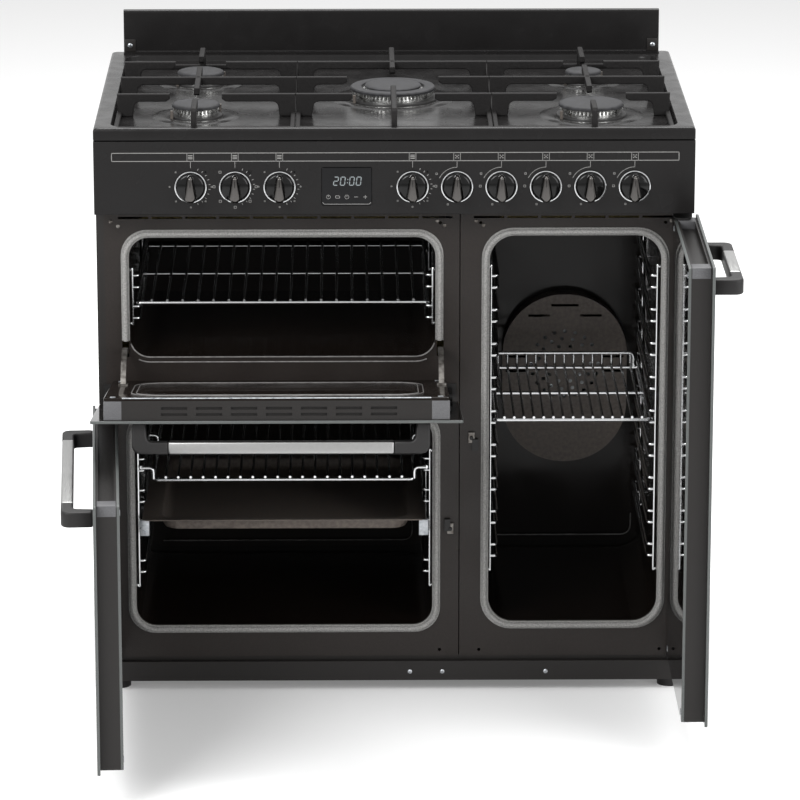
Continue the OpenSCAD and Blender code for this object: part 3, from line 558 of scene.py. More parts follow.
def bent(points, radius):
    """The points of a path with its inner corners turned into arcs."""
    steps = 5
    path = [Vector(points[0])]
    for before, corner, after in zip(points, points[1:], points[2:]):
        corner = Vector(corner)
        back = Vector(before) - corner
        ahead = Vector(after) - corner
        reach = min(radius, back.length / 2, ahead.length / 2)
        start = corner + back.normalized() * reach
        end = corner + ahead.normalized() * reach
        for i in range(steps + 1):
            t = i / steps
            path.append((1 - t) ** 2 * start + 2 * t * (1 - t) * corner + t * t * end)
    path.append(Vector(points[-1]))
    return path


def add_lathe(bm, profile, centre, axis="Z", steps=48):
    """Adds a turned solid from a profile of radius and height in millimetres, end to end of its axis."""
    turn = {"Z": Matrix.Identity(4), "-Y": Matrix.Rotation(math.radians(90), 4, "X"),
            "Y": Matrix.Rotation(math.radians(-90), 4, "X")}[axis]
    stand = Matrix.Translation(Vector(centre) * MM) @ turn
    rings = []
    for radius, height in profile:
        if radius < 1e-6:
            rings.append([bm.verts.new(stand @ Vector((0, 0, height * MM)))])
        else:
            rings.append([bm.verts.new(stand @ Vector((
                radius * MM * math.cos(2 * math.pi * i / steps),
                radius * MM * math.sin(2 * math.pi * i / steps), height * MM))) for i in range(steps)])
    for a, b in zip(rings, rings[1:]):
        for i in range(steps):
            j = (i + 1) % steps
            corners = [a[i % len(a)], a[j % len(a)], b[j % len(b)], b[i % len(b)]]
            face = list(dict.fromkeys(corners))
            if len(face) > 2:
                bm.faces.new(face)
    for ring in (rings[0], rings[-1]):
        if len(ring) > 1:
            bm.faces.new(ring)


def lathe(name, profile, centres, material, axis="Z", steps=48):
    """One piece of equal turned solids."""
    bm = bmesh.new()
    for centre in centres:
        add_lathe(bm, profile, centre, axis, steps)
    return from_bmesh(name, bm, material)


def place(piece, body, slot_name, *replaced):
    """The piece rides on its body, and may stand for CAD nodes; slot_name is not used."""
    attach(piece, body)
    if replaced:
        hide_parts(*replaced)
    return piece


def opened(joint_name):
    """The turn from a door's closed place to the place where it stands open at rest."""
    joint = JOINTS[joint_name]
    pivot = Vector(joint["pos_m"])
    angle = math.radians(-joint["range_deg"][0])
    return (Matrix.Translation(pivot) @ Matrix.Rotation(angle, 4, Vector(joint["axis"]))
            @ Matrix.Translation(-pivot))


def hang(piece, joint_name, slot_name, *replaced):
    """Puts a piece that was made in its closed place on its open door."""
    piece.data.transform(opened(joint_name))
    piece.data.update()
    return place(piece, JOINTS[joint_name]["child"], slot_name, *replaced)


def finish_nodes(material, *names):
    """Gives CAD nodes their material."""
    for name in names:
        mesh = frame["nodes"][name].data
        mesh.materials.clear()
        mesh.materials.append(material)


# ---------------------------------------------------------------------------------------------
# Layout, in millimetres, taken from the frame


def mm_box(node_name):
    """Edges of a node at rest in millimetres."""
    return [v / MM for v in box_of(node_name)]


HOB_LEFT, HOB_RIGHT, HOB_FRONT, HOB_REAR, HOB_UNDER, HOB_TOP = mm_box("hob_plate")
SUPPORT_TOP = mm_box("pan_support_left")[5]
WELL_FLOOR = mm_box("pan_support_left")[4]
FACE_Y = mm_box("control_panel")[2]
FASCIA_BOTTOM, FASCIA_TOP = mm_box("control_panel")[4:]
FRAME_Y = mm_box("left_front_frame")[2]
BACK_Y = FRAME_Y - 8
PANE_Y = FACE_Y + 4.5
INNER_Y = BACK_Y - 4.5
KNOBS = {name: JOINTS[name + "_turn"]["pos_m"][0] / MM for name in frame["nodes"] if name.startswith("knob_")}
KNOB_Z = JOINTS["knob_wok_turn"]["pos_m"][2] / MM
# Y of the rows of bars across the hob; the outer burners stand under the rear and front rows
REAR_ROW, MIDDLE_ROW, FRONT_ROW = 80, -42, -170
# X, Y and radius of each burner's cap
BURNERS = {"rear_left": (-300, REAR_ROW, 36.5), "front_left": (-300, FRONT_ROW, 36.5),
           "wok": (0, -40, 65.5),
           "rear_right": (300, REAR_ROW, 28.5), "front_right": (300, FRONT_ROW, 49.5)}
CAP_Z = WELL_FLOOR + 15
# Left, right, bottom, top and corner radius of each oven's opening
CAVITIES = {"grill": (-401, 62, 536, 722, 30), "main": (-397, 58, 108, 438, 30),
            "tall": (145, 404, 113, 724, 38)}
# Left, right, bottom and top of each door's outer glass, then of its inner pane or panel
DOORS = {"grill": ((-447, 98, 466, 759), (-427, 78, 470, 755)),
         "main": ((-447, 98, 60, 463), (-443, 80, 62, 458.5)),
         "tall": ((102, 447, 60, 759), (120, 443, 62, 754))}
# Left, right, bottom and top of the clock's window
CLOCK = (-109, -34, 782, 840)


def offset_loop(inset, radius, z):
    """A round-cornered loop inside the hob's outline; inset is left, right, front, rear."""
    outline = round_rect(HOB_LEFT + inset[0], HOB_RIGHT - inset[1], HOB_FRONT + inset[2],
                         HOB_REAR - inset[3], radius)
    return [Vector((x, y, z)) * MM for x, y in outline]


def stitch(bm, rings):
    """Joins each ring of vertices to the next one with quads."""
    for a, b in zip(rings, rings[1:]):
        for i in range(len(a)):
            j = (i + 1) % len(a)
            bm.faces.new((a[i], a[j], b[j], b[i]))


def bridge(bm, loops):
    """Joins loops of equal length with quads, and fills the last one."""
    rings = [[bm.verts.new(point) for point in loop] for loop in loops]
    stitch(bm, rings)
    bm.faces.new(rings[-1])
    return rings


# Insets of the well's brink from the hob's left and right, front and rear
WELL_SIDE, WELL_FRONT, WELL_REAR = 25, 8, 36
# Profile of the dish under a burner: distance beyond the cap's radius, and height
DISH = ((4, 0), (30, 0), (28, 0.5), (24, 1.6), (16, 2.0), (8, 1.2), (4, 0.6))


def build_hob():
    """Pressed hob: rolled edge, border, sloping wall of the well, its floor and the burners' dishes."""
    edge = sizes().hob_edge / MM
    loops = [offset_loop((1.6,) * 4, 2, HOB_UNDER), offset_loop((0,) * 4, 3, HOB_UNDER)]
    for i in range(7):
        turn = math.radians(90 * i / 6)
        inward = edge * (1 - math.cos(turn))
        loops.append(offset_loop((inward,) * 4, 3 + inward, HOB_TOP - edge + edge * math.sin(turn)))
    depth = HOB_TOP - WELL_FLOOR
    for i in range(5):
        t = i / 4
        fall = depth * (3 * t * t - 2 * t ** 3)
        run = 4 * t
        inset = (WELL_SIDE + run, WELL_SIDE + run, WELL_FRONT + run, WELL_REAR + run)
        loops.append(offset_loop(inset, 28, HOB_TOP - fall))
    bm = bmesh.new()
    bridge(bm, loops)
    place(from_bmesh("hob_top", bm, vitreous_enamel(), 35), "carcass", "black_enamel", "hob_plate")
    for name, (x, y, r) in BURNERS.items():
        bm = bmesh.new()
        add_lathe_ring(bm, [(r + beyond, height) for beyond, height in DISH], (x, y, WELL_FLOOR))
        place(from_bmesh("dish_" + name, bm, vitreous_enamel()), "carcass", "black_enamel")


def add_lathe_ring(bm, profile, centre):
    """Adds a closed ring: a profile of radius and height turned about Z."""
    steps = 64
    rings = [[bm.verts.new(Vector((centre[0] + r * math.cos(2 * math.pi * i / steps),
                                   centre[1] + r * math.sin(2 * math.pi * i / steps),
                                   centre[2] + h)) * MM) for i in range(steps)] for r, h in profile]
    stitch(bm, rings + rings[:1])


def add_crown(bm, centre, outer, bottom, top, teeth):
    """Adds a burner crown whose rim has teeth with flame slots between them."""
    steps = teeth * 4
    rings = []
    for depth, height in ((2.5, bottom), (2.5, top - 6), (0, top - 5), (0, top)):
        ring = []
        for i in range(steps):
            slot = i % 4 >= 2 and height > top - 5.5
            r = outer - depth - (3 if slot else 0)
            turn = 2 * math.pi * i / steps
            ring.append(bm.verts.new(Vector((centre[0] + r * math.cos(turn), centre[1] + r * math.sin(turn),
                                             height)) * MM))
        rings.append(ring)
    stitch(bm, rings)
    bm.faces.new(rings[0][::-1])
    bm.faces.new(rings[-1])


def build_burners():
    """Burner crowns with flame slots, black base rings and enamelled caps; the wok burner has two rings."""
    crowns = bmesh.new()
    bases = bmesh.new()
    caps = bmesh.new()
    for name, (x, y, r) in BURNERS.items():
        add_lathe(bases, [(r + 4, 0), (r + 4, 1.8), (r + 3, 3), (r - 4, 3.4), (0, 3.4)], (x, y, WELL_FLOOR))
        if name == "wok":
            add_crown(crowns, (x, y), r - 2, WELL_FLOOR + 3, CAP_Z, 60)
            add_lathe(crowns, [(r - 17, 0), (r - 17, 3), (r - 19, 4), (0, 4)], (x, y, CAP_Z - 2))
            add_crown(crowns, (x, y), r - 23, CAP_Z, CAP_Z + 3.5, 36)
            profile = [(r - 17, 0), (r, 0), (r, 3.2), (r - 1.6, 4.8), (r - 15, 5.6), (r - 17, 4.4)]
            add_lathe_ring(caps, profile, (x, y, CAP_Z))
            add_lathe(caps, [(r - 22, 0), (r - 22, 2.2), (r - 23.4, 3.6), (r - 30, 4.6), (0, 5)],
                      (x, y, CAP_Z + 3.5))
        else:
            add_crown(crowns, (x, y), r - 1.5, WELL_FLOOR + 3, CAP_Z, round(r * 0.9))
            add_lathe(caps, [(r, 0), (r, 2.6), (r - 1.4, 4.4), (r - 5, 5.6), (r * 0.55, 6.6), (0, 6.9)],
                      (x, y, CAP_Z))
    place(from_bmesh("crown_bases", bases, black_nylon()), "carcass", "black_enamel")
    place(from_bmesh("crowns", crowns, burner_alloy(), 30), "carcass", "alloy", "burner_crowns")
    place(from_bmesh("caps", caps, cap_enamel()), "carcass", "cast_iron", "burner_caps")


# Width of a pan support's bars, depth of the cast beam, and length of the legs across
BAR = 8.5
BEAM = 12
LEG = 26
BEAM_UNDER = SUPPORT_TOP - BEAM


def bar_outlines(x0, x1, gap):
    """Outlines of a bar across a pan support: legs at both ends, open below, and broken over a burner."""

    def leg(end, inward):
        """From the leg's outer foot along its sole and up its inner side to the underside of the beam."""
        points = [(end + inward, WELL_FLOOR), (end + inward * (LEG - 2), WELL_FLOOR)]
        for i in range(6):
            turn = math.radians(90 * i / 5)
            points.append((end + inward * (LEG + 9 * (1 - math.cos(turn))),
                           BEAM_UNDER - 9 + 9 * math.sin(turn)))
        return points

    def broken(end, inward, tip):
        """One half of a bar that ends in a chamfered tip beside a burner."""
        return leg(end, inward) + [(tip - inward * 6, BEAM_UNDER), (tip, BEAM_UNDER + 4),
                                   (tip, SUPPORT_TOP), (end, SUPPORT_TOP)]

    if gap:
        return [broken(x0, 1, gap[0]), broken(x1, -1, gap[1])]
    return [leg(x0, 1) + leg(x1, -1)[::-1] + [(x1, SUPPORT_TOP), (x0, SUPPORT_TOP)]]


def finger_outline(y0, y1, foot):
    """Outline of a bar along a pan support, which may stand on a foot at its front or its rear."""
    if not foot:
        return [(y0, BEAM_UNDER + 3), (y0 + 4, BEAM_UNDER), (y1 - 4, BEAM_UNDER),
                (y1, BEAM_UNDER + 3), (y1, SUPPORT_TOP), (y0, SUPPORT_TOP)]
    start, tip, way = (y0, y1, 1) if foot == "front" else (y1, y0, -1)
    return [(start, WELL_FLOOR), (start + 9 * way, WELL_FLOOR), (start + 12 * way, BEAM_UNDER - 4),
            (start + 18 * way, BEAM_UNDER), (tip - 4 * way, BEAM_UNDER), (tip, BEAM_UNDER + 4),
            (tip, SUPPORT_TOP), (start + 5 * way, SUPPORT_TOP), (start + way, SUPPORT_TOP - 4)]


def build_support(name, x0, x1, bars, fingers):
    """One cast pan support from bars across and fingers along, with every edge rounded."""
    parts = []
    edge = sizes().iron_edge / MM
    for y, gap in bars:
        for outline in bar_outlines(x0, x1, gap):
            parts.append(plate(f"{name}_bar", [outline], "XZ", y - BAR / 2, y + BAR / 2, cast_iron(), edge))
    for x, y0, y1, foot in fingers:
        parts.append(plate(f"{name}_finger", [finger_outline(y0, y1, foot)], "YZ",
                           x - BAR / 2, x + BAR / 2, cast_iron(), edge))
    y0, y1 = mm_box(name)[2:4]
    rim = [round_rect(x0, x1, y0, y1, 4, 4), round_rect(x0 + 7, x1 - 7, y0 + 7, y1 - 7, 2, 4)]
    parts.append(plate(f"{name}_rim", rim, "XY", WELL_FLOOR, WELL_FLOOR + 7, cast_iron(), 1.5))
    place(joined(name + "_casting", parts), name, "cast_iron", name)


def joined(name, parts):
    """Joins pieces that share a material list into one piece."""
    bm = bmesh.new()
    for part in parts:
        bm.from_mesh(part.data)
    mesh = bpy.data.meshes.new(name)
    bm.to_mesh(mesh)
    bm.free()
    materials = parts[0].data.materials[:]
    for part in parts:
        data = part.data
        bpy.data.objects.remove(part)
        bpy.data.meshes.remove(data)
    for material in materials:
        mesh.materials.append(material)
    return added(name, mesh)


def build_supports():
    """The three pan supports, whose bars end a little way off each burner's cap."""
    for side, rear, front in (("left", "rear_left", "front_left"), ("right", "rear_right", "front_right")):
        name = "pan_support_" + side
        x0, x1, y0, y1 = mm_box(name)[:4]
        x, ry, rr = BURNERS[rear]
        fy, fr = BURNERS[front][1:]
        rr, fr = rr + 3, fr + 3
        bars = [(REAR_ROW, (x - rr, x + rr)), (MIDDLE_ROW, None), (FRONT_ROW, (x - fr, x + fr))]
        fingers = [(x, ry + rr, y1, "rear"), (x, fy + fr, ry - rr, None), (x, y0, fy - fr, "front")]
        build_support(name, x0, x1, bars, fingers)
    x0, x1, y0, y1 = mm_box("pan_support_centre")[:4]
    x, y, r = BURNERS["wok"]
    r += 5
    bars = [(REAR_ROW, None), (MIDDLE_ROW, (x - r, x + r)), (FRONT_ROW, (x - r + 8, x + r - 8))]
    build_support("pan_support_centre", x0, x1, bars, [(x, y + r, y1, "rear"), (x, y0, y - r, "front")])


# Thickness of the splash-back's sheet
SHEET = 1.6


def build_upstand():
    """Splash-back sheet with a rolled top and a foot flange, its two end brackets and their screws."""
    x0, x1, y0, y1, z0, z1 = mm_box("upstand")
    face = y0 + 17
    half = SHEET / 2
    profile = bent([(face - 14, z0 + half), (face - half, z0 + half), (face - half, z1 - half),
                    (y1 - half, z1 - half)], 3)
    sheet = folded("upstand_sheet", profile, SHEET, x0, x1, vitreous_enamel())
    place(sheet, "carcass", "black_enamel", "upstand")
    spans = [(x, x + 18, face - 4, face - SHEET, z0 + SHEET, z0 + 22) for x in (x0 + 1, x1 - 19)]
    place(blocks("upstand_brackets", spans, baked_paint(), 0.8), "carcass", "black_paint")
    screws([(x, face - 4, z0 + 12) for x in (x0 + 10, x1 - 10)], "upstand_screws", 4)


def folded(name, profile, thickness, x0, x1, material):
    """A folded sheet: a profile of Y and Z points in millimetres, drawn along X."""
    bm = bmesh.new()
    half = thickness / 2
    ahead, behind = [], []
    for before, point, after in zip(profile[:1] + profile, profile, profile[1:] + profile[-1:]):
        along = (after - before).normalized()
        across = Vector((-along.y, along.x)) * half
        ahead.append(point + across)
        behind.append(point - across)
    loop = ahead + behind[::-1]
    ends = [[bm.verts.new(Vector((x, p.x, p.y)) * MM) for p in loop] for x in (x0, x1)]
    stitch(bm, ends)
    count = len(ahead)
    for ring in ends:
        for i in range(count - 1):
            bm.faces.new((ring[i], ring[i + 1], ring[2 * count - 2 - i], ring[2 * count - 1 - i]))
    return from_bmesh(name, bm, material, 35)


def screws(centres, name, radius=3.5, material=None):
    """Cross-head screws that face the cook: a domed head with a raised cross on it."""
    bm = bmesh.new()
    for centre in centres:
        add_lathe(bm, [(radius, 0), (radius, 0.6), (radius * 0.8, 1.3), (radius * 0.3, 1.6), (0, 1.6)],
                  centre, "-Y", 20)
        for w, h in ((radius * 0.55, radius * 0.12), (radius * 0.12, radius * 0.55)):
            add_block(bm, ((centre[0] - w) * MM, (centre[1] - 1.75) * MM, (centre[2] - h) * MM),
                      ((centre[0] + w) * MM, (centre[1] - 0.9) * MM, (centre[2] + h) * MM))
    place(from_bmesh(name, bm, material or zinc_plate()), "carcass", "zinc")


def build_fascia():
    """Fascia: a rolled sheet with shaft holes and the clock's window, and its cheeks."""
    x0, x1 = HOB_LEFT, HOB_RIGHT
    holes = [circle(x, KNOB_Z, 8, 24) for x in KNOBS.values()]
    holes.append(round_rect(CLOCK[0], CLOCK[1], CLOCK[2], CLOCK[3], 2, 3))
    sheet = plate("fascia_face", [round_rect(x0, x1, FASCIA_BOTTOM, FASCIA_TOP, 2.5, 4)] + holes, "XZ",
                  FACE_Y, FACE_Y + 2, vitreous_enamel(), 0.9)
    place(sheet, "carcass", "black_enamel", "control_panel")
    rear = FRAME_Y + 2
    spans = [(x0 + 0.3, x1 - 0.3, FACE_Y + 1, rear, FASCIA_BOTTOM, FASCIA_BOTTOM + 2),
             (x0 + 0.3, x1 - 0.3, FACE_Y + 1, FRAME_Y, FASCIA_TOP - 2, FASCIA_TOP)]
    for x in (x0, x1 - 2):
        spans.append((x, x + 2, FACE_Y + 1, FRAME_Y, FASCIA_BOTTOM, FASCIA_TOP))
    place(blocks("fascia_returns", spans, vitreous_enamel(), 0.6), "carcass", "black_enamel")


def add_flat(bm, outline, front, back):
    """Adds a thin flat solid: an outline of X and Z points between two planes across Y."""
    near = [bm.verts.new(Vector((p.x, front, p.y)) * MM) for p in outline]
    far = [bm.verts.new(Vector((p.x, back, p.y)) * MM) for p in outline]
    bm.faces.new(near)
    bm.faces.new(far[::-1])
    for i in range(len(outline)):
        j = (i + 1) % len(outline)
        bm.faces.new((near[i], far[i], far[j], near[j]))


def ink(name, lines, share=1.0, closed=False):
    """Printed lines on the fascia, as flat strips a tenth of a millimetre proud; share scales their width."""
    bm = bmesh.new()
    half = sizes().print_line / MM * share / 2
    for line in lines:
        points = [Vector(p) for p in line]
        if closed:
            points.append(points[0])
        for a, b in zip(points, points[1:]):
            along = (b - a).normalized()
            across = Vector((-along.y, along.x)) * half
            corners = (a - across - along * half, b - across + along * half, b + across + along * half,
                       a + across - along * half)
            add_flat(bm, corners, FACE_Y - 0.12, FACE_Y + 0.02)
    place(from_bmesh(name, bm, printed_ink()), "carcass", "black_enamel")


# Left, right, bottom and top of the printed frame line
PRINT_FRAME = (-422.6, 425.4, 850, 862.5)
GAS_KNOBS = ("knob_rear_left", "knob_front_left", "knob_wok", "knob_rear_right", "knob_front_right")


def build_print():
    """Printed frame line, a pictogram above each knob, and the scale round it."""
    left, right, low, high = PRINT_FRAME
    ink("print_frame", [[(left, low), (right, low), (right, high), (left, high)]], 1.0, True)
    middle = (low + high) / 2
    boxes, marks, ticks, squares = [], [], [], []
    for name, x in KNOBS.items():
        boxes += [[(x - 5, low), (x - 5, high)], [(x + 5, low), (x + 5, high)], [(x, low), (x, KNOB_Z + 29)]]
        if name in GAS_KNOBS:
            marks += [[(x + dx - 0.5, middle + dz), (x + dx + 0.5, middle + dz)]
                      for dx, dz in ((-2, -2), (2, -2), (-2, 2), (2, 2), (0, 0))]
            ticks.append([on_dial(x, 29, turn) for turn in range(90, 156, 8)])
            dots = ((31.6, 180, 1.5), (31, 244, 1.1), (36, 148, 1.3))
        else:
            marks += [[(x - 2.8, middle + dz), (x + 2.8, middle + dz)] for dz in (-2.4, 0, 2.4)]
            ticks += [[on_dial(x, 27.5, turn), on_dial(x, 29.5, turn)] for turn in range(-68, 68, 15)]
            half = 1.7 if name == "knob_main_oven" else 0.9
            dots = [(31.5, turn, half) for turn in range(45, 406, 45) if turn % 360 != 90]
        squares += [square(*on_dial(x, reach, turn), half) for reach, turn, half in dots]
    ink("print_boxes", boxes, 0.7)
    ink("print_squares", squares, 0.8, True)
    ink("print_symbols", marks, 1.2)
    ink("print_ticks", ticks, 0.9)


def square(x, z, half):
    """Corners of an upright square about a point."""
    return [(x - half, z - half), (x + half, z - half), (x + half, z + half), (x - half, z + half)]


def on_dial(x, reach, turn):
    """A point round a knob, at an angle in degrees that starts at the cook's right."""
    turn = math.radians(turn)
    return x + reach * math.cos(turn), KNOB_Z + reach * math.sin(turn)


SEGMENTS = {"0": "abcdef", "2": "abged"}


def digit_strokes(digit, left, low, wide, high):
    """Strokes of a seven-segment digit, given its lower left corner."""
    gap = 1.0
    right, middle, top = left + wide, low + high / 2, low + high
    strokes = {
        "a": [(left + gap, top), (right - gap, top)], "d": [(left + gap, low), (right - gap, low)],
        "g": [(left + gap, middle), (right - gap, middle)],
        "f": [(left, middle + gap), (left, top - gap)], "b": [(right, middle + gap), (right, top - gap)],
        "e": [(left, low + gap), (left, middle - gap)], "c": [(right, low + gap), (right, middle - gap)]}
    return [strokes[s] for s in SEGMENTS[digit]]


def build_clock():
    """Clock: smoked window, its housing, lit digits and touch symbols."""
    x0, x1, z0, z1 = CLOCK
    face = FACE_Y - 0.6
    window = plate("clock_window", [round_rect(x0 + 0.3, x1 - 0.3, z0 + 0.3, z1 - 0.3, 2, 3)], "XZ",
                   face, FACE_Y + 2, display_glass(), 0.4)
    place(window, "carcass", "clock_glass", "clock_module")
    housing = (x0 - 4, x1 + 4, FACE_Y + 2, FACE_Y + 30, z0 - 4, z1 + 4)
    place(blocks("clock_housing", [housing], black_nylon(), 1.5), "carcass", "plastic_black")
    wide, high, pitch, slant = 6.4, 12.5, 10.2, 0.12
    first, base = x0 + 17.5, z0 + 31
    paths = []
    for i, digit in enumerate("2000"):
        paths += digit_strokes(digit, first + i * pitch + (3.4 if i > 1 else 0), base, wide, high)
    colon = first + 2 * pitch + 0.2
    paths += [[(colon, base + 3.4), (colon, base + 4.2)], [(colon, base + 8.4), (colon, base + 9.2)]]
    paths = [[(x + (z - base) * slant, z) for x, z in path] for path in paths]
    strip("clock_digits", paths, 1.5, face, lit_digits())
    touch = []
    for i, symbol in enumerate(("timer", "pan", "timer", "minus", "plus")):
        x, z = x0 + 10 + i * 13.8, z0 + 13
        if symbol == "timer":
            turns = [math.radians(t) for t in range(0, 361, 30)]
            touch.append([(x + 3 * math.cos(a), z + 3 * math.sin(a)) for a in turns])
            touch.append([(x, z), (x, z + 1.8)])
        elif symbol == "pan":
            touch.append([(x - 3, z - 1.8), (x + 3, z - 1.8), (x + 3, z + 1.8), (x - 3, z + 1.8),
                          (x - 3, z - 1.8)])
        else:
            touch.append([(x - 2.6, z), (x + 2.6, z)])
            if symbol == "plus":
                touch.append([(x, z - 2.6), (x, z + 2.6)])
    touch.append([(x0 + 1.5, z0 + 4.5), (x0 + 4, z0 + 2), (x1 - 4, z0 + 2), (x1 - 1.5, z0 + 4.5)])
    strip("clock_touch_marks", touch, 0.7, face, printed_ink())


def strip(name, paths, thickness, face, material):
    """Flat strokes with pointed ends, lying on the clock's face."""
    bm = bmesh.new()
    half = thickness / 2
    for line in paths:
        for a, b in zip(line, line[1:]):
            a, b = Vector(a), Vector(b)
            along = (b - a).normalized()
            across = Vector((-along.y, along.x)) * half
            points = (a - across, a - along * half, a + across, b + across, b + along * half, b - across)
            add_flat(bm, points, face - 0.1, face + 0.02)
    place(from_bmesh(name, bm, material), "carcass", "clock_glass")


# Profiles of a knob's ring and collar: radius, and height in front of the ring's rear
RING_PROFILE = ((24.2, 0), (24.2, 2.8), (23.8, 3.8), (23.0, 4.0), (22.7, 3.2), (0, 3.2))
COLLAR_PROFILE = ((22.4, 3.0), (22.2, 4.6), (20.2, 7.6), (18.4, 8.8), (0, 9.2))
# Sections of the grip: height, and inset of its outline there
GRIP_SECTIONS = ((8, 0), (18, 0), (21, 0.4), (23.4, 1.3), (25, 2.5), (25.8, 3.7), (26, 4.6))


def grip_outline(inset):
    """Outline of a knob's grip, from its wide lower end to its narrow upper end."""
    points = []
    for middle, radius, start, steps in ((-11.5, 9.6 - inset, 180, 28), (15.5, 5.2 - inset, 0, 16)):
        for i in range(steps):
            turn = math.radians(start + 180 * i / (steps - 1))
            points.append((radius * math.cos(turn), middle + radius * math.sin(turn)))
    return points


def build_knobs():
    """Knobs: a chrome ring, a gloss-black disc, and a rounded grip with a pointer line."""
    ring_y = FACE_Y - 0.5
    for name, x in KNOBS.items():
        seat = [(x, ring_y, KNOB_Z)]
        ring = lathe(name + "_ring", RING_PROFILE, seat, polished_chrome(), "-Y", 64)
        collar = lathe(name + "_collar", COLLAR_PROFILE, seat, gloss_black(), "-Y", 64)
        bm = bmesh.new()
        rings = [[bm.verts.new(Vector((x + px, ring_y - height, KNOB_Z + pz)) * MM)
                  for px, pz in grip_outline(inset)] for height, inset in GRIP_SECTIONS]
        stitch(bm, rings)
        bm.faces.new(rings[-1])
        bm.faces.new(rings[0][::-1])
        grip = from_bmesh(name + "_grip", bm, black_chrome(), 50)
        shaft = lathe(name + "_shaft", [(4, 0), (4, 40), (0, 40)], [(x, ring_y + 4, KNOB_Z)],
                      zinc_plate(), "Y")
        line = (x - 0.7, x + 0.7, ring_y - 26.0, ring_y - 24.6, KNOB_Z + 4, KNOB_Z + 14)
        pointer = blocks(name + "_pointer", [line], black_nylon(), 0.3, 2)
        place(ring, name, "satin_metal", name)
        place(collar, name, "plastic_black")
        place(grip, name, "satin_metal")
        place(shaft, name, "zinc")
        place(pointer, name, "plastic_black")


# ---------------------------------------------------------------------------------------------
# Inside the ovens

# Upper wires of the runner pairs, then bottom and top of the uprights, in each oven
LADDERS = {"grill": ((656, 607.6), 578, 668), "main": ((366, 316, 268, 203), 160, 382),
           "tall": (tuple(654.4 - 53.4 * i for i in range(9)), 185, 672)}
LADDER_FRONT, LADDER_REAR = -225, 120
# Height between the two wires of a runner pair
RUNNER_GAP = 18.3
# Radii of the shelves' rods and thin wires
SHELF_ROD, SHELF_WIRE = 3, 2
# Front and rear of the main oven's grid
GRID_FRONT, GRID_REAR = -230, 140


def ladder(name, oven, side):
    """Wires on one wall of an oven, each runner bent at its ends to meet the uprights."""
    pairs, low, high = LADDERS[oven]
    wall = CAVITIES[oven][0 if side > 0 else 1]
    upright, runner = wall + 3 * side, wall + 13 * side
    paths = [bent([(wall, y, low + 4), (upright, y, low), (upright, y, high), (wall, y, high - 4)], 3)
             for y in (LADDER_FRONT, LADDER_REAR)]
    for pair in pairs:
        for z in (pair, pair - RUNNER_GAP):
            paths.append(bent([(upright, LADDER_FRONT, z), (runner, LADDER_FRONT, z),
                               (runner, LADDER_REAR, z), (upright, LADDER_REAR, z)], 5))
    return tubes(name, paths, sizes().wire / MM, chromed_wire())


def build_ladders():
    """Wire ladders on the walls of the three ovens."""
    left = [ladder(f"{oven}_wires", oven, side) for oven in ("grill", "main") for side in (1, -1)]
    place(joined("left_oven_ladder_wires", left), "carcass", "chrome", "left_oven_ladders")
    for side, word in ((1, "left"), (-1, "right")):
        place(ladder(f"tall_ladder_{word}_wires", "tall", side), "carcass", "chrome", f"tall_ladder_{word}")


def build_shelf(name, z, y0, y1, pitch, rail=0):
    """Wire grid: a rod round the outside, a cross rod, and thin wires that may turn up into a back rail."""
    x0, x1 = mm_box(name)[0] + SHELF_ROD, mm_box(name)[1] - SHELF_ROD
    middle = (y0 + y1) / 2
    rods = [bent([(x0, middle, z), (x0, y1, z), (x1, y1, z), (x1, y0, z), (x0, y0, z), (x0, middle, z)], 7),
            [(x0, middle, z), (x1, middle, z)]]
    if rail:
        a, b = x0 + 9.8, x1 - 9.8
        rods.append(bent([(a, y1, z), (a, y1, z + rail), (b, y1, z + rail), (b, y1, z)], 7))
    count = round((x1 - x0) / pitch)
    top = z + 4
    wires = []
    for i in range(1, count):
        x = x0 + (x1 - x0) * i / count
        wires.append(bent([(x, y0 - 2, top), (x, y1, top)] + ([(x, y1, z + rail)] if rail else []), 6))
    parts = [tubes(name + "_rods", rods, SHELF_ROD, chromed_wire()),
             tubes(name + "_wires", wires, SHELF_WIRE, chromed_wire())]
    place(joined(name + "_wirework", parts), name, "chrome", name)


def build_shelves():
    """The grill's and the tall oven's shelves, and the main oven's low grid on its hangers."""
    build_shelf("grill_shelf", 613.4, -225, 146, 23)
    build_shelf("main_shelf", 334.5, GRID_FRONT, GRID_REAR, 19.4)
    build_shelf("tall_shelf", 428.3, -230, 80, 15, rail=24)
    arm_z, foot_z = 353.5, 336
    paths = []
    for x, inward in ((-388, 18), (49, -18)):
        paths.append([(x, GRID_FRONT, arm_z), (x, GRID_REAR, arm_z)])
        paths += [bent([(x, y, arm_z), (x + inward, y, arm_z), (x + inward, y, foot_z)], 8)
                  for y in (GRID_FRONT, -45, GRID_REAR)]
    arms = tubes("main_shelf_arms", paths, SHELF_ROD, chromed_wire())
    place(arms, "main_shelf", "chrome", "main_shelf_hangers")


# Left, right, front and rear of the tray's pan, then of its rim
TRAY_PAN = (-357, 21, -226, 110)
TRAY_RIM = (-388, 49, -240, 122)
TRAY_BOTTOM, TRAY_TOP = 252, 272.3


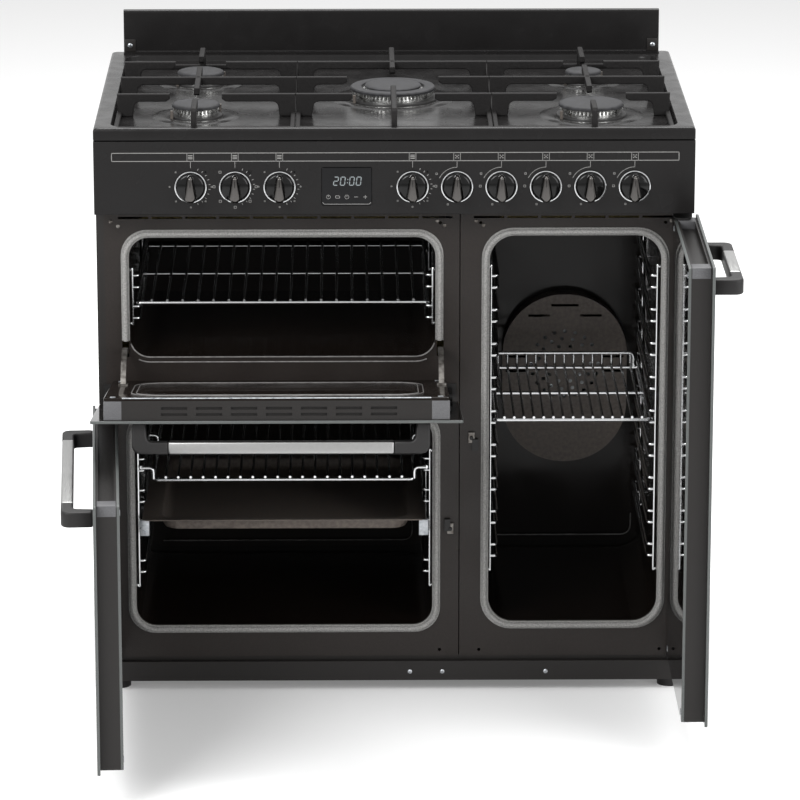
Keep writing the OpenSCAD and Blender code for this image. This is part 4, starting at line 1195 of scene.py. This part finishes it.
def build_tray():
    """Pressed enamelled tray: wide rim, sloping sides, rounded floor and the two end tabs."""
    left, right, front, rear = TRAY_PAN
    low, high = TRAY_BOTTOM, TRAY_TOP

    def loop(grow, radius, z):
        """The pan's outline at one height."""
        outline = round_rect(left - grow, right + grow, front - grow, rear + grow, radius)
        return [Vector((x, y, z)) * MM for x, y in outline]

    def rim(z):
        """The rim's outline at one height."""
        return [Vector((x, y, z)) * MM for x, y in round_rect(*TRAY_RIM, 6)]

    loops = [loop(-14, 14, low + 1.5), loop(-6, 20, low + 2.2), loop(-2.5, 23, low + 6),
             loop(-1.5, 24, high - 5), loop(0, 25, high - 1.4), loop(3, 27, high), rim(high), rim(high - 1.5),
             loop(3, 27, high - 1.5), loop(1, 26, high - 4), loop(0, 25, low + 7), loop(-3, 23, low + 1.5),
             loop(-12, 16, low)]
    bm = bmesh.new()
    rings = bridge(bm, loops)
    bm.faces.new(rings[0][::-1])
    tray = from_bmesh("tray_pan", bm, tray_enamel(), 50)
    spans = [(x, x + 15, -240, -237, 246.8, high - 0.4) for x in (-392, 38)]
    tabs = blocks("tray_tabs", spans, zinc_plate(), 0.6)
    place(tray, "baking_tray", "cavity_enamel", "baking_tray")
    place(tabs, "baking_tray", "zinc")


# The grill's seal runs straight down below the shoulder, and ends at the foot
SEAL_SHOULDER, SEAL_FOOT = 600, 562


def seal_outline(oven, grow, extra_radius=0, steps=8):
    """A line round an oven's opening, some millimetres outside it; the grill's is open below."""
    left, right, low, high, radius = CAVITIES[oven]
    outline = round_rect(left - grow, right + grow, low - grow, high + grow, radius + extra_radius, steps)
    if oven != "grill":
        return outline
    upper = [p for p in outline if p[1] > SEAL_SHOULDER]
    return [(right + grow, SEAL_FOOT)] + upper + [(left - grow, SEAL_FOOT)]


def build_seals():
    """Braided door seals round each opening: a round bead on a flat tail."""
    bead = sizes().seal_bead / MM
    paths, tails = [], []
    for oven in CAVITIES:
        path = [(x, FRAME_Y - bead, z) for x, z in seal_outline(oven, 6.5, 6.5, 10)]
        outer, inner = seal_outline(oven, 12.5, 10), seal_outline(oven, 0.5)
        if oven == "grill":
            outlines = [outer + inner[::-1]]
        else:
            outlines = [outer, inner]
            path.append(path[0])
        paths.append(path)
        tails.append(plate(oven + "_seal_tail", outlines, "XZ", FRAME_Y - 2.2, FRAME_Y, woven_seal(), 0.5))
    bead_piece = tubes("seal_beads", paths, bead, woven_seal(), sides=4)
    place(joined("seals", [bead_piece] + tails), "carcass", "seal", "door_seals")


# ---------------------------------------------------------------------------------------------
# Doors, made in their closed places and hung open

# Left end, right end and bottom of each door's handle
HANDLES = {"grill": (-387, 50, 720), "main": (-387, 50, 418), "tall": (154.5, 393.5, 705)}
# How far the bar's front stands off the glass, the bar's depth and height, and the length of a post
HANDLE_REACH, HANDLE_DEEP, HANDLE_HIGH, POST_LONG = 46, 18, 23, 53


def grind_edge(pane):
    """Gives the sides of a glass pane the finish of a ground edge."""
    pane.data.materials.append(ground_glass())
    for face in pane.data.polygons:
        if abs(face.normal.y) < 0.9:
            face.material_index = 1


def build_panes():
    """Outer glasses, and the reflective inner panes of the two ovens, all with ground edges."""
    polish = sizes().glass_edge / MM
    for door, (glass, inner) in DOORS.items():
        joint = door + "_door_hinge"
        pane = plate(door + "_outer_glass", [round_rect(*glass, 4, 6)], "XZ", FACE_Y, PANE_Y,
                     door_glass(), polish)
        grind_edge(pane)
        hang(pane, joint, "door_glass", door + "_door_outer_glass")
        if door == "grill":
            continue
        pane = plate(door + "_inner_pane", [round_rect(*inner, 3, 4)], "XZ", INNER_Y, BACK_Y,
                     inner_glass(), 0.7)
        grind_edge(pane)
        hang(pane, joint, "inner_glass", door + "_door_inner_glass")


def build_grill_panel():
    """Pressed inner panel of the grill door: a field inside a shallow rounded channel whose edges carry
    painted highlights, and a painted highlight in bright zinc along its top edge.
    """
    left, right, low, high = DOORS["grill"][1]

    def outline(inset, radius):
        """The panel's outline, drawn in and with its own corner radius."""
        return round_rect(left + inset, right - inset, low + inset, high - inset, radius)

    def loop(inset, radius, y):
        """The panel's outline at one depth."""
        return [Vector((x, y, z)) * MM for x, z in outline(inset, radius)]

    loops = [loop(0, 3, INNER_Y), loop(0, 3, BACK_Y - 1), loop(1, 3, BACK_Y), loop(36, 48, BACK_Y),
             loop(38.5, 46, BACK_Y - 1.2), loop(42.5, 42, BACK_Y - 1.2), loop(45, 40, BACK_Y)]
    bm = bmesh.new()
    rings = bridge(bm, loops)
    bm.faces.new(rings[0][::-1])
    hang(from_bmesh("grill_panel", bm, oven_enamel(), 30), "grill_door_hinge", "cavity_enamel",
         "grill_door_inner_panel")
    # Light grey tubes along both edges of the channel: painted highlights
    channel = [[(x, BACK_Y - 0.3, z) for x, z in outline(inset, 84 - inset)] for inset in (37, 44.5)]
    hang(tubes("grill_channel_highlights", channel, 0.8, painted_highlight_enamel(), closed=True), "grill_door_hinge",
         "cavity_enamel")
    # A bright zinc tube along the panel's top edge: a painted highlight
    edge = [[(left + 27, BACK_Y - 0.8, high - 0.4), (right - 27, BACK_Y - 0.8, high - 0.4)]]
    hang(tubes("grill_panel_edge_highlight", edge, 0.9, zinc_plate()), "grill_door_hinge", "zinc")


def post_outline(end, inward):
    """Plan of a handle's end: from the glass out to the bar, round the corner, and along the bar."""
    front, bar_back = FACE_Y - HANDLE_REACH, FACE_Y - HANDLE_REACH + HANDLE_DEEP
    points = [(end + inward * 2, FACE_Y), (end, FACE_Y - 4)]
    for i in range(7):
        turn = math.radians(90 * i / 6)
        points.append((end + inward * 13 * (1 - math.cos(turn)), front + 13 * (1 - math.sin(turn))))
    points += [(end + inward * POST_LONG, front), (end + inward * POST_LONG, bar_back)]
    for i in range(5):
        turn = math.radians(90 * i / 4)
        points.append((end + inward * (22 + 8 * (1 - math.sin(turn))), bar_back + 8 * (1 - math.cos(turn))))
    points.append((end + inward * 20, FACE_Y))
    return points


def build_handles():
    """Bar handles: a brushed bar between two black posts that turn into it."""
    for door, (x0, x1, z) in HANDLES.items():
        joint = door + "_door_hinge"
        posts = [plate(f"{door}_post", [post_outline(end, inward)], "XY", z, z + HANDLE_HIGH,
                       black_nylon(), 3) for end, inward in ((x0, 1), (x1, -1))]
        span = (x0 + POST_LONG, x1 - POST_LONG, FACE_Y - HANDLE_REACH, FACE_Y - (HANDLE_REACH - HANDLE_DEEP),
                z, z + HANDLE_HIGH)
        bar = blocks(door + "_bar", [span], brushed_aluminium(), 3, 4)
        hang(bar, joint, "brushed_alu", door + "_door_handle")
        hang(joined(door + "_handle_posts", posts), joint, "plastic_black")


def build_door_trim():
    """Grey end caps on the tops of the door frames, and the clips that hold the inner panes."""
    for door, (_, (left, right, _, high)) in DOORS.items():
        spans = [(x - 0.3, x + 26.3, PANE_Y + 0.4, INNER_Y - 0.4, high - 16, high + 0.5)
                 for x in (left, right - 26)]
        hang(blocks(door + "_end_caps", spans, grey_nylon(), 1.2), door + "_door_hinge", "plastic_beige")
    for door, (_, (left, right, low, high)) in DOORS.items():
        spans = [(x, x + 8, BACK_Y - 0.2, BACK_Y + 0.6, z, z + 8) for x in (left + 9, right - 17)
                 for z in (low + 9, high - 17)]
        hang(blocks(door + "_pane_clips", spans, zinc_plate(), 0.3), door + "_door_hinge", "zinc")


# Middle of each door catch
CATCHES = ((86, 262.5), (118, 407.5))
# Painted highlights along the rounded corners inside the tall oven, the main oven and the grill: path and
# corner radius
CAVITY_EDGES = (([(172, 164, 124), (389, 164, 124), (389, 164, 160)], 22),
                ([(-372, 154, 119), (33, 154, 119), (33, 154, 150)], 18),
                ([(52, 154, 600), (52, 154, 712), (-20, 154, 712)], 26))


def build_trim():
    """Screws of frames and plinth, painted highlights on the grill mouth's lips and on the oven corners, and
    door catches.
    """
    screws([(x + dx, FRAME_Y, 744 + dz) for x in (-422, 71, 130, 425) for dx, dz in ((-6, 3), (5, -4))],
           "frame_screws", 3, worn_zinc())
    screws([(x, -262, 33) for x in (-432, 24, 74, 234, 432)], "plinth_screws", 3.5)
    left, right, low, high, radius = CAVITIES["grill"]
    # Light grey tubes on the grill mouth's rolled lip: painted highlights along a real edge
    lip = []
    for grow, top in ((0.6, 560), (8.3, 534)):
        outline = round_rect(left - grow, right + grow, low - grow, high, radius + grow, 10)
        lip.append([(x, FRAME_Y, z) for x, z in outline if z < top])
    place(tubes("grill_lip_highlights", lip, 1.2, painted_highlight_enamel()), "carcass", "black_enamel")
    spans = [(x - 5, x + 5, FRAME_Y - 4, FRAME_Y, z - 8.5, z + 8.5) for x, z in CATCHES]
    place(blocks("catches", spans, worn_zinc(), 0.8), "carcass", "zinc")
    # Light grey tubes that paint highlights on the ovens' inside corners
    edges = [bent(path, radius) for path, radius in CAVITY_EDGES]
    place(tubes("cavity_corner_highlights", edges, 1.1, painted_highlight_enamel()), "carcass", "cavity_enamel")
    rollers = lathe("catch_rollers", [(3, 0), (3, 2.5), (2.4, 3.2), (0, 3.2)],
                    [(x, FRAME_Y - 4, z) for x, z in CATCHES], black_nylon(), "-Y", 24)
    place(rollers, "carcass", "plastic_black")


def build_finishes():
    """Materials of the parts that stay as the frame has them."""
    finish_nodes(baked_paint(), "side_panels", "base_tray", "plinth", "grill_door_frame", "main_door_frame",
                 "tall_door_frame")
    finish_nodes(galvanised_steel(), "rear_panel")
    finish_nodes(black_nylon(), "levelling_feet")
    finish_nodes(frame_enamel(), "left_front_frame", "right_front_frame")
    finish_nodes(oven_enamel(), "grill_cavity", "main_cavity", "tall_cavity")
    finish_nodes(tray_enamel(), "fan_baffle")
    finish_nodes(mineral_wool(), "insulation")
    finish_nodes(machined_brass(), "gas_rail")
    finish_nodes(phenolic(), "switches_and_terminals")
    finish_nodes(heater_sheath(), "heating_elements")
    finish_nodes(zinc_plate(), "fan_motor", "fan_blade")
    finish_nodes(black_nylon(), "door_hardware")
    finish_nodes(worn_zinc(), "grill_hinge_arms")
    finish_nodes(lamp_glass(), "oven_lamps")
    finish_nodes(steatite(), "spark_igniters")


# ---------------------------------------------------------------------------------------------
# Studio


FLOOR_REACH = 30
# Place and edge length in metres, and share of the main lamp's power
LAMPS = {"key": ((-2.6, -3.6, 3.6), 2.4, 1.0), "fill": ((3.4, -3.0, 2.2), 2.6, 0.55),
         "top": ((0.2, 1.3, 4.2), 2.8, 1.0)}
LAMP_AIM = Vector((0, 0, 0.5))
CAMERA_PLACE = (-0.0681, -7.1126, 2.3481)
# Radians down from level, and to the right of straight ahead
CAMERA_TILT, CAMERA_PAN = 0.2677, 0.0112
# Millimetres
SENSOR_WIDTH, FOCAL_LENGTH = 36, 209.8


def build_floor():
    """Pale floor that shows a little brighter than its light makes it."""
    mesh = bpy.data.meshes.new("floor")
    mesh.from_pydata([(-FLOOR_REACH, -FLOOR_REACH, 0), (FLOOR_REACH, -FLOOR_REACH, 0),
                      (FLOOR_REACH, FLOOR_REACH, 0), (-FLOOR_REACH, FLOOR_REACH, 0)], [], [(0, 1, 2, 3)])
    material = bpy.data.materials.new("floor_paper_matt")
    tree = emptied_tree(material)
    matt = add_node(tree, "ShaderNodeBsdfDiffuse", {"Color": linear("#f2f2f2")})
    seen = seen_directly(tree)
    glow = add_node(tree, "ShaderNodeEmission", {"Color": (1, 1, 1, 1), "Strength": stage().floor_glow})
    dark = add_node(tree, "ShaderNodeEmission", {"Color": (0, 0, 0, 1), "Strength": 0.0})
    lift = add_node(tree, "ShaderNodeMixShader", {0: seen, 1: dark.outputs[0], 2: glow.outputs[0]})
    both = add_node(tree, "ShaderNodeAddShader", {0: matt.outputs[0], 1: lift.outputs[0]})
    add_node(tree, "ShaderNodeOutputMaterial", {"Surface": both.outputs[0]})
    mesh.materials.append(material)
    added("floor", mesh)


def build_surroundings():
    """Even white surroundings, dimmer as light than as seen."""
    world = bpy.data.worlds.new("studio")
    tree = emptied_tree(world)
    fill = add_node(tree, "ShaderNodeBackground", {"Color": (1, 1, 1, 1), "Strength": stage().fill})
    white = add_node(tree, "ShaderNodeBackground", {"Color": (1, 1, 1, 1), "Strength": 1.0})
    mix = add_node(tree, "ShaderNodeMixShader", {
        0: seen_directly(tree), 1: fill.outputs[0], 2: white.outputs[0]})
    add_node(tree, "ShaderNodeOutputWorld", {"Surface": mix.outputs[0]})
    bpy.context.scene.world = world


def build_lamps():
    """Three soft lamps aimed at the cooker's middle."""
    for name, (spot, size, share) in LAMPS.items():
        lamp = bpy.data.lights.new(name, "AREA")
        lamp.shape = "SQUARE"
        lamp.size = size
        lamp.energy = stage().power * share
        holder = added(name, lamp)
        holder.location = spot
        holder.rotation_euler = (LAMP_AIM - Vector(spot)).to_track_quat("-Z", "Y").to_euler()


def build_camera():
    """Camera at the photo's viewpoint."""
    eye = bpy.data.cameras.new("camera")
    eye.sensor_width = SENSOR_WIDTH
    eye.lens = FOCAL_LENGTH
    eye.clip_end = 200
    camera = added("camera", eye)
    camera.location = CAMERA_PLACE
    camera.rotation_euler = (math.pi / 2 - CAMERA_TILT, 0, -CAMERA_PAN)
    bpy.context.scene.camera = camera
    bpy.context.scene.view_settings.view_transform = "Standard"


def seen_directly(tree):
    """1 for rays from the camera and for mirrored and passing rays, 0 for the light they gather."""
    path = add_node(tree, "ShaderNodeLightPath")
    first = add_node(tree, "ShaderNodeMath", {
        0: path.outputs["Is Camera Ray"], 1: path.outputs["Is Glossy Ray"]}, operation="MAXIMUM")
    return add_node(tree, "ShaderNodeMath", {
        0: first.outputs[0], 1: path.outputs["Is Transmission Ray"]}, operation="MAXIMUM").outputs[0]


# ---------------------------------------------------------------------------------------------
# Values that a user may change


def colour_property(name, hex_colour, description):
    """A colour picker that starts from an sRGB hex value."""
    return bpy.props.FloatVectorProperty(name=name, description=description, subtype="COLOR", size=3,
                                         min=0.0, max=1.0, default=linear(hex_colour)[:3])


def length_property(name, millimetres, description):
    """A length that is shown in the scene's unit."""
    return bpy.props.FloatProperty(name=name, description=description, unit="LENGTH", subtype="DISTANCE",
                                   precision=4, min=0.0001, default=millimetres * MM)


class CookerSizes(bpy.types.PropertyGroup):
    """Sizes of the fine parts; the frame gives all the others."""
    wire: length_property("Ladder wire", 2.5, "Radius of the wire on the oven walls")
    seal_bead: length_property("Seal bead", 3.7, "Radius of the door seals' round bead")
    glass_edge: length_property("Glass edge", 1.0, "Width of the ground edge on the door glass")
    iron_edge: length_property("Casting edge", 1.6, "Rounding of the pan supports' edges")
    hob_edge: length_property("Hob edge", 5.0, "Radius of the rolled edge round the hob")
    print_line: length_property("Printed line", 0.9, "Width of the printed lines on the fascia")


class CookerColours(bpy.types.PropertyGroup):
    """Colours of the main finishes."""
    enamel: colour_property("Enamel", "#1a1919", "Enamel on the hob and the fascia")
    frame: colour_property("Frame enamel", "#272321", "Enamel on the front frames")
    oven: colour_property("Oven enamel", "#17120f", "Enamel inside the ovens")
    paint: colour_property("Paint", "#201e1d", "Powder coat on the sides, plinth and door frames")
    iron: colour_property("Cast iron", "#201f1f", "Enamel on the pan supports")
    glass: colour_property("Door glass", "#0c0b0c", "Colour behind the outer door glass")
    handle: colour_property("Handles", "#9c9c9b", "Anodised handle bars")
    seal: colour_property("Seals", "#868583", "Door seals")
    ink: colour_property("Print", "#8d8c8a", "Printed markings on the fascia")


class CookerStage(bpy.types.PropertyGroup):
    """Light of the studio."""
    power: bpy.props.FloatProperty(name="Lamp power", description="Power of the main lamp", unit="POWER",
                                   min=0.0, default=200.0)
    fill: bpy.props.FloatProperty(name="Surrounding light", description="Light that comes from all sides",
                                  subtype="FACTOR", min=0.0, default=0.5)
    floor_glow: bpy.props.FloatProperty(name="Floor brightness", subtype="FACTOR", min=0.0, max=1.0,
                                        description="White added to the floor as seen", default=0.18)


def sizes():
    """The scene's cooker sizes."""
    return bpy.context.scene.cooker_sizes


def colours():
    """The scene's cooker colours."""
    return bpy.context.scene.cooker_colours


def stage():
    """The scene's studio values."""
    return bpy.context.scene.cooker_stage


# ---------------------------------------------------------------------------------------------
# Operators and panel


def build_checked(builders, made):
    """Runs builders, and raises an error when a piece that they should make isn't there."""
    for builder in builders:
        builder()
    for name in made:
        if name not in bpy.data.objects:
            raise RuntimeError(f"{name} was not made")
    return {"FINISHED"}


class COOKER_OT_stage(bpy.types.Operator):
    """Set up the floor, the lamps and the camera"""
    bl_idname = "cooker.stage"
    bl_label = "Stage"

    def execute(self, context):
        return build_checked([build_floor, build_surroundings, build_lamps, build_camera],
                             ["floor", "key", "camera"])


class COOKER_OT_finishes(bpy.types.Operator):
    """Give the frame's own parts their materials"""
    bl_idname = "cooker.finishes"
    bl_label = "Frame finishes"

    def execute(self, context):
        return build_checked([build_finishes], [])


class COOKER_OT_hob(bpy.types.Operator):
    """Make the pressed hob with its well and the splash-back"""
    bl_idname = "cooker.hob"
    bl_label = "Hob and splash-back"

    def execute(self, context):
        return build_checked([build_hob, build_upstand], ["hob_top", "upstand_sheet"])


class COOKER_OT_burners(bpy.types.Operator):
    """Make the burner crowns and caps"""
    bl_idname = "cooker.burners"
    bl_label = "Burners"

    def execute(self, context):
        return build_checked([build_burners], ["crowns", "caps"])


class COOKER_OT_supports(bpy.types.Operator):
    """Make the three cast pan supports"""
    bl_idname = "cooker.supports"
    bl_label = "Pan supports"

    def execute(self, context):
        return build_checked([build_supports], ["pan_support_centre_casting"])


class COOKER_OT_fascia(bpy.types.Operator):
    """Make the fascia, its print and the clock"""
    bl_idname = "cooker.fascia"
    bl_label = "Fascia and clock"

    def execute(self, context):
        return build_checked([build_fascia, build_print, build_clock], ["fascia_face", "clock_window"])


class COOKER_OT_knobs(bpy.types.Operator):
    """Make the nine control knobs"""
    bl_idname = "cooker.knobs"
    bl_label = "Knobs"

    def execute(self, context):
        return build_checked([build_knobs], ["knob_wok_grip"])


class COOKER_OT_ovens(bpy.types.Operator):
    """Make the wire ladders, shelves, tray and door seals"""
    bl_idname = "cooker.ovens"
    bl_label = "Oven fittings"

    def execute(self, context):
        return build_checked([build_ladders, build_shelves, build_tray, build_seals],
                             ["tall_ladder_left_wires", "tray_pan", "seals"])


class COOKER_OT_doors(bpy.types.Operator):
    """Make the doors' glass, panels, handles and trim"""
    bl_idname = "cooker.doors"
    bl_label = "Doors"

    def execute(self, context):
        return build_checked([build_panes, build_grill_panel, build_handles, build_door_trim],
                             ["tall_outer_glass", "grill_panel", "main_bar"])


class COOKER_OT_trim(bpy.types.Operator):
    """Make the screws and catches on the front"""
    bl_idname = "cooker.trim"
    bl_label = "Screws and catches"

    def execute(self, context):
        return build_checked([build_trim], ["catches"])


OPERATORS = (COOKER_OT_stage, COOKER_OT_finishes, COOKER_OT_hob, COOKER_OT_burners, COOKER_OT_supports,
             COOKER_OT_fascia, COOKER_OT_knobs, COOKER_OT_ovens, COOKER_OT_doors, COOKER_OT_trim)
GROUPS = {"cooker_sizes": CookerSizes, "cooker_colours": CookerColours, "cooker_stage": CookerStage}


class COOKER_PT_panel(bpy.types.Panel):
    """Lists the values and the steps that make the cooker"""
    bl_label = "Range cooker"
    bl_space_type = "VIEW_3D"
    bl_region_type = "UI"
    bl_category = "Cooker"

    def draw(self, context):
        for name, group in GROUPS.items():
            box = self.layout.box()
            for key in group.__annotations__:
                box.prop(getattr(context.scene, name), key)
        for operator in OPERATORS:
            self.layout.operator(operator.bl_idname)


def register():
    """Registers the classes and adds the value groups to the scene."""
    for cls in (*GROUPS.values(), *OPERATORS, COOKER_PT_panel):
        bpy.utils.register_class(cls)
    for name, group in GROUPS.items():
        setattr(bpy.types.Scene, name, bpy.props.PointerProperty(type=group))


def unregister():
    """Takes the value groups and the classes away again."""
    for name in GROUPS:
        delattr(bpy.types.Scene, name)
    for cls in reversed((*GROUPS.values(), *OPERATORS, COOKER_PT_panel)):
        bpy.utils.unregister_class(cls)


def main():
    """Makes the cooker step by step."""
    register()
    for operator in OPERATORS:
        getattr(bpy.ops.cooker, operator.bl_idname.split(".")[1])()


if __name__ == "__main__":
    main()
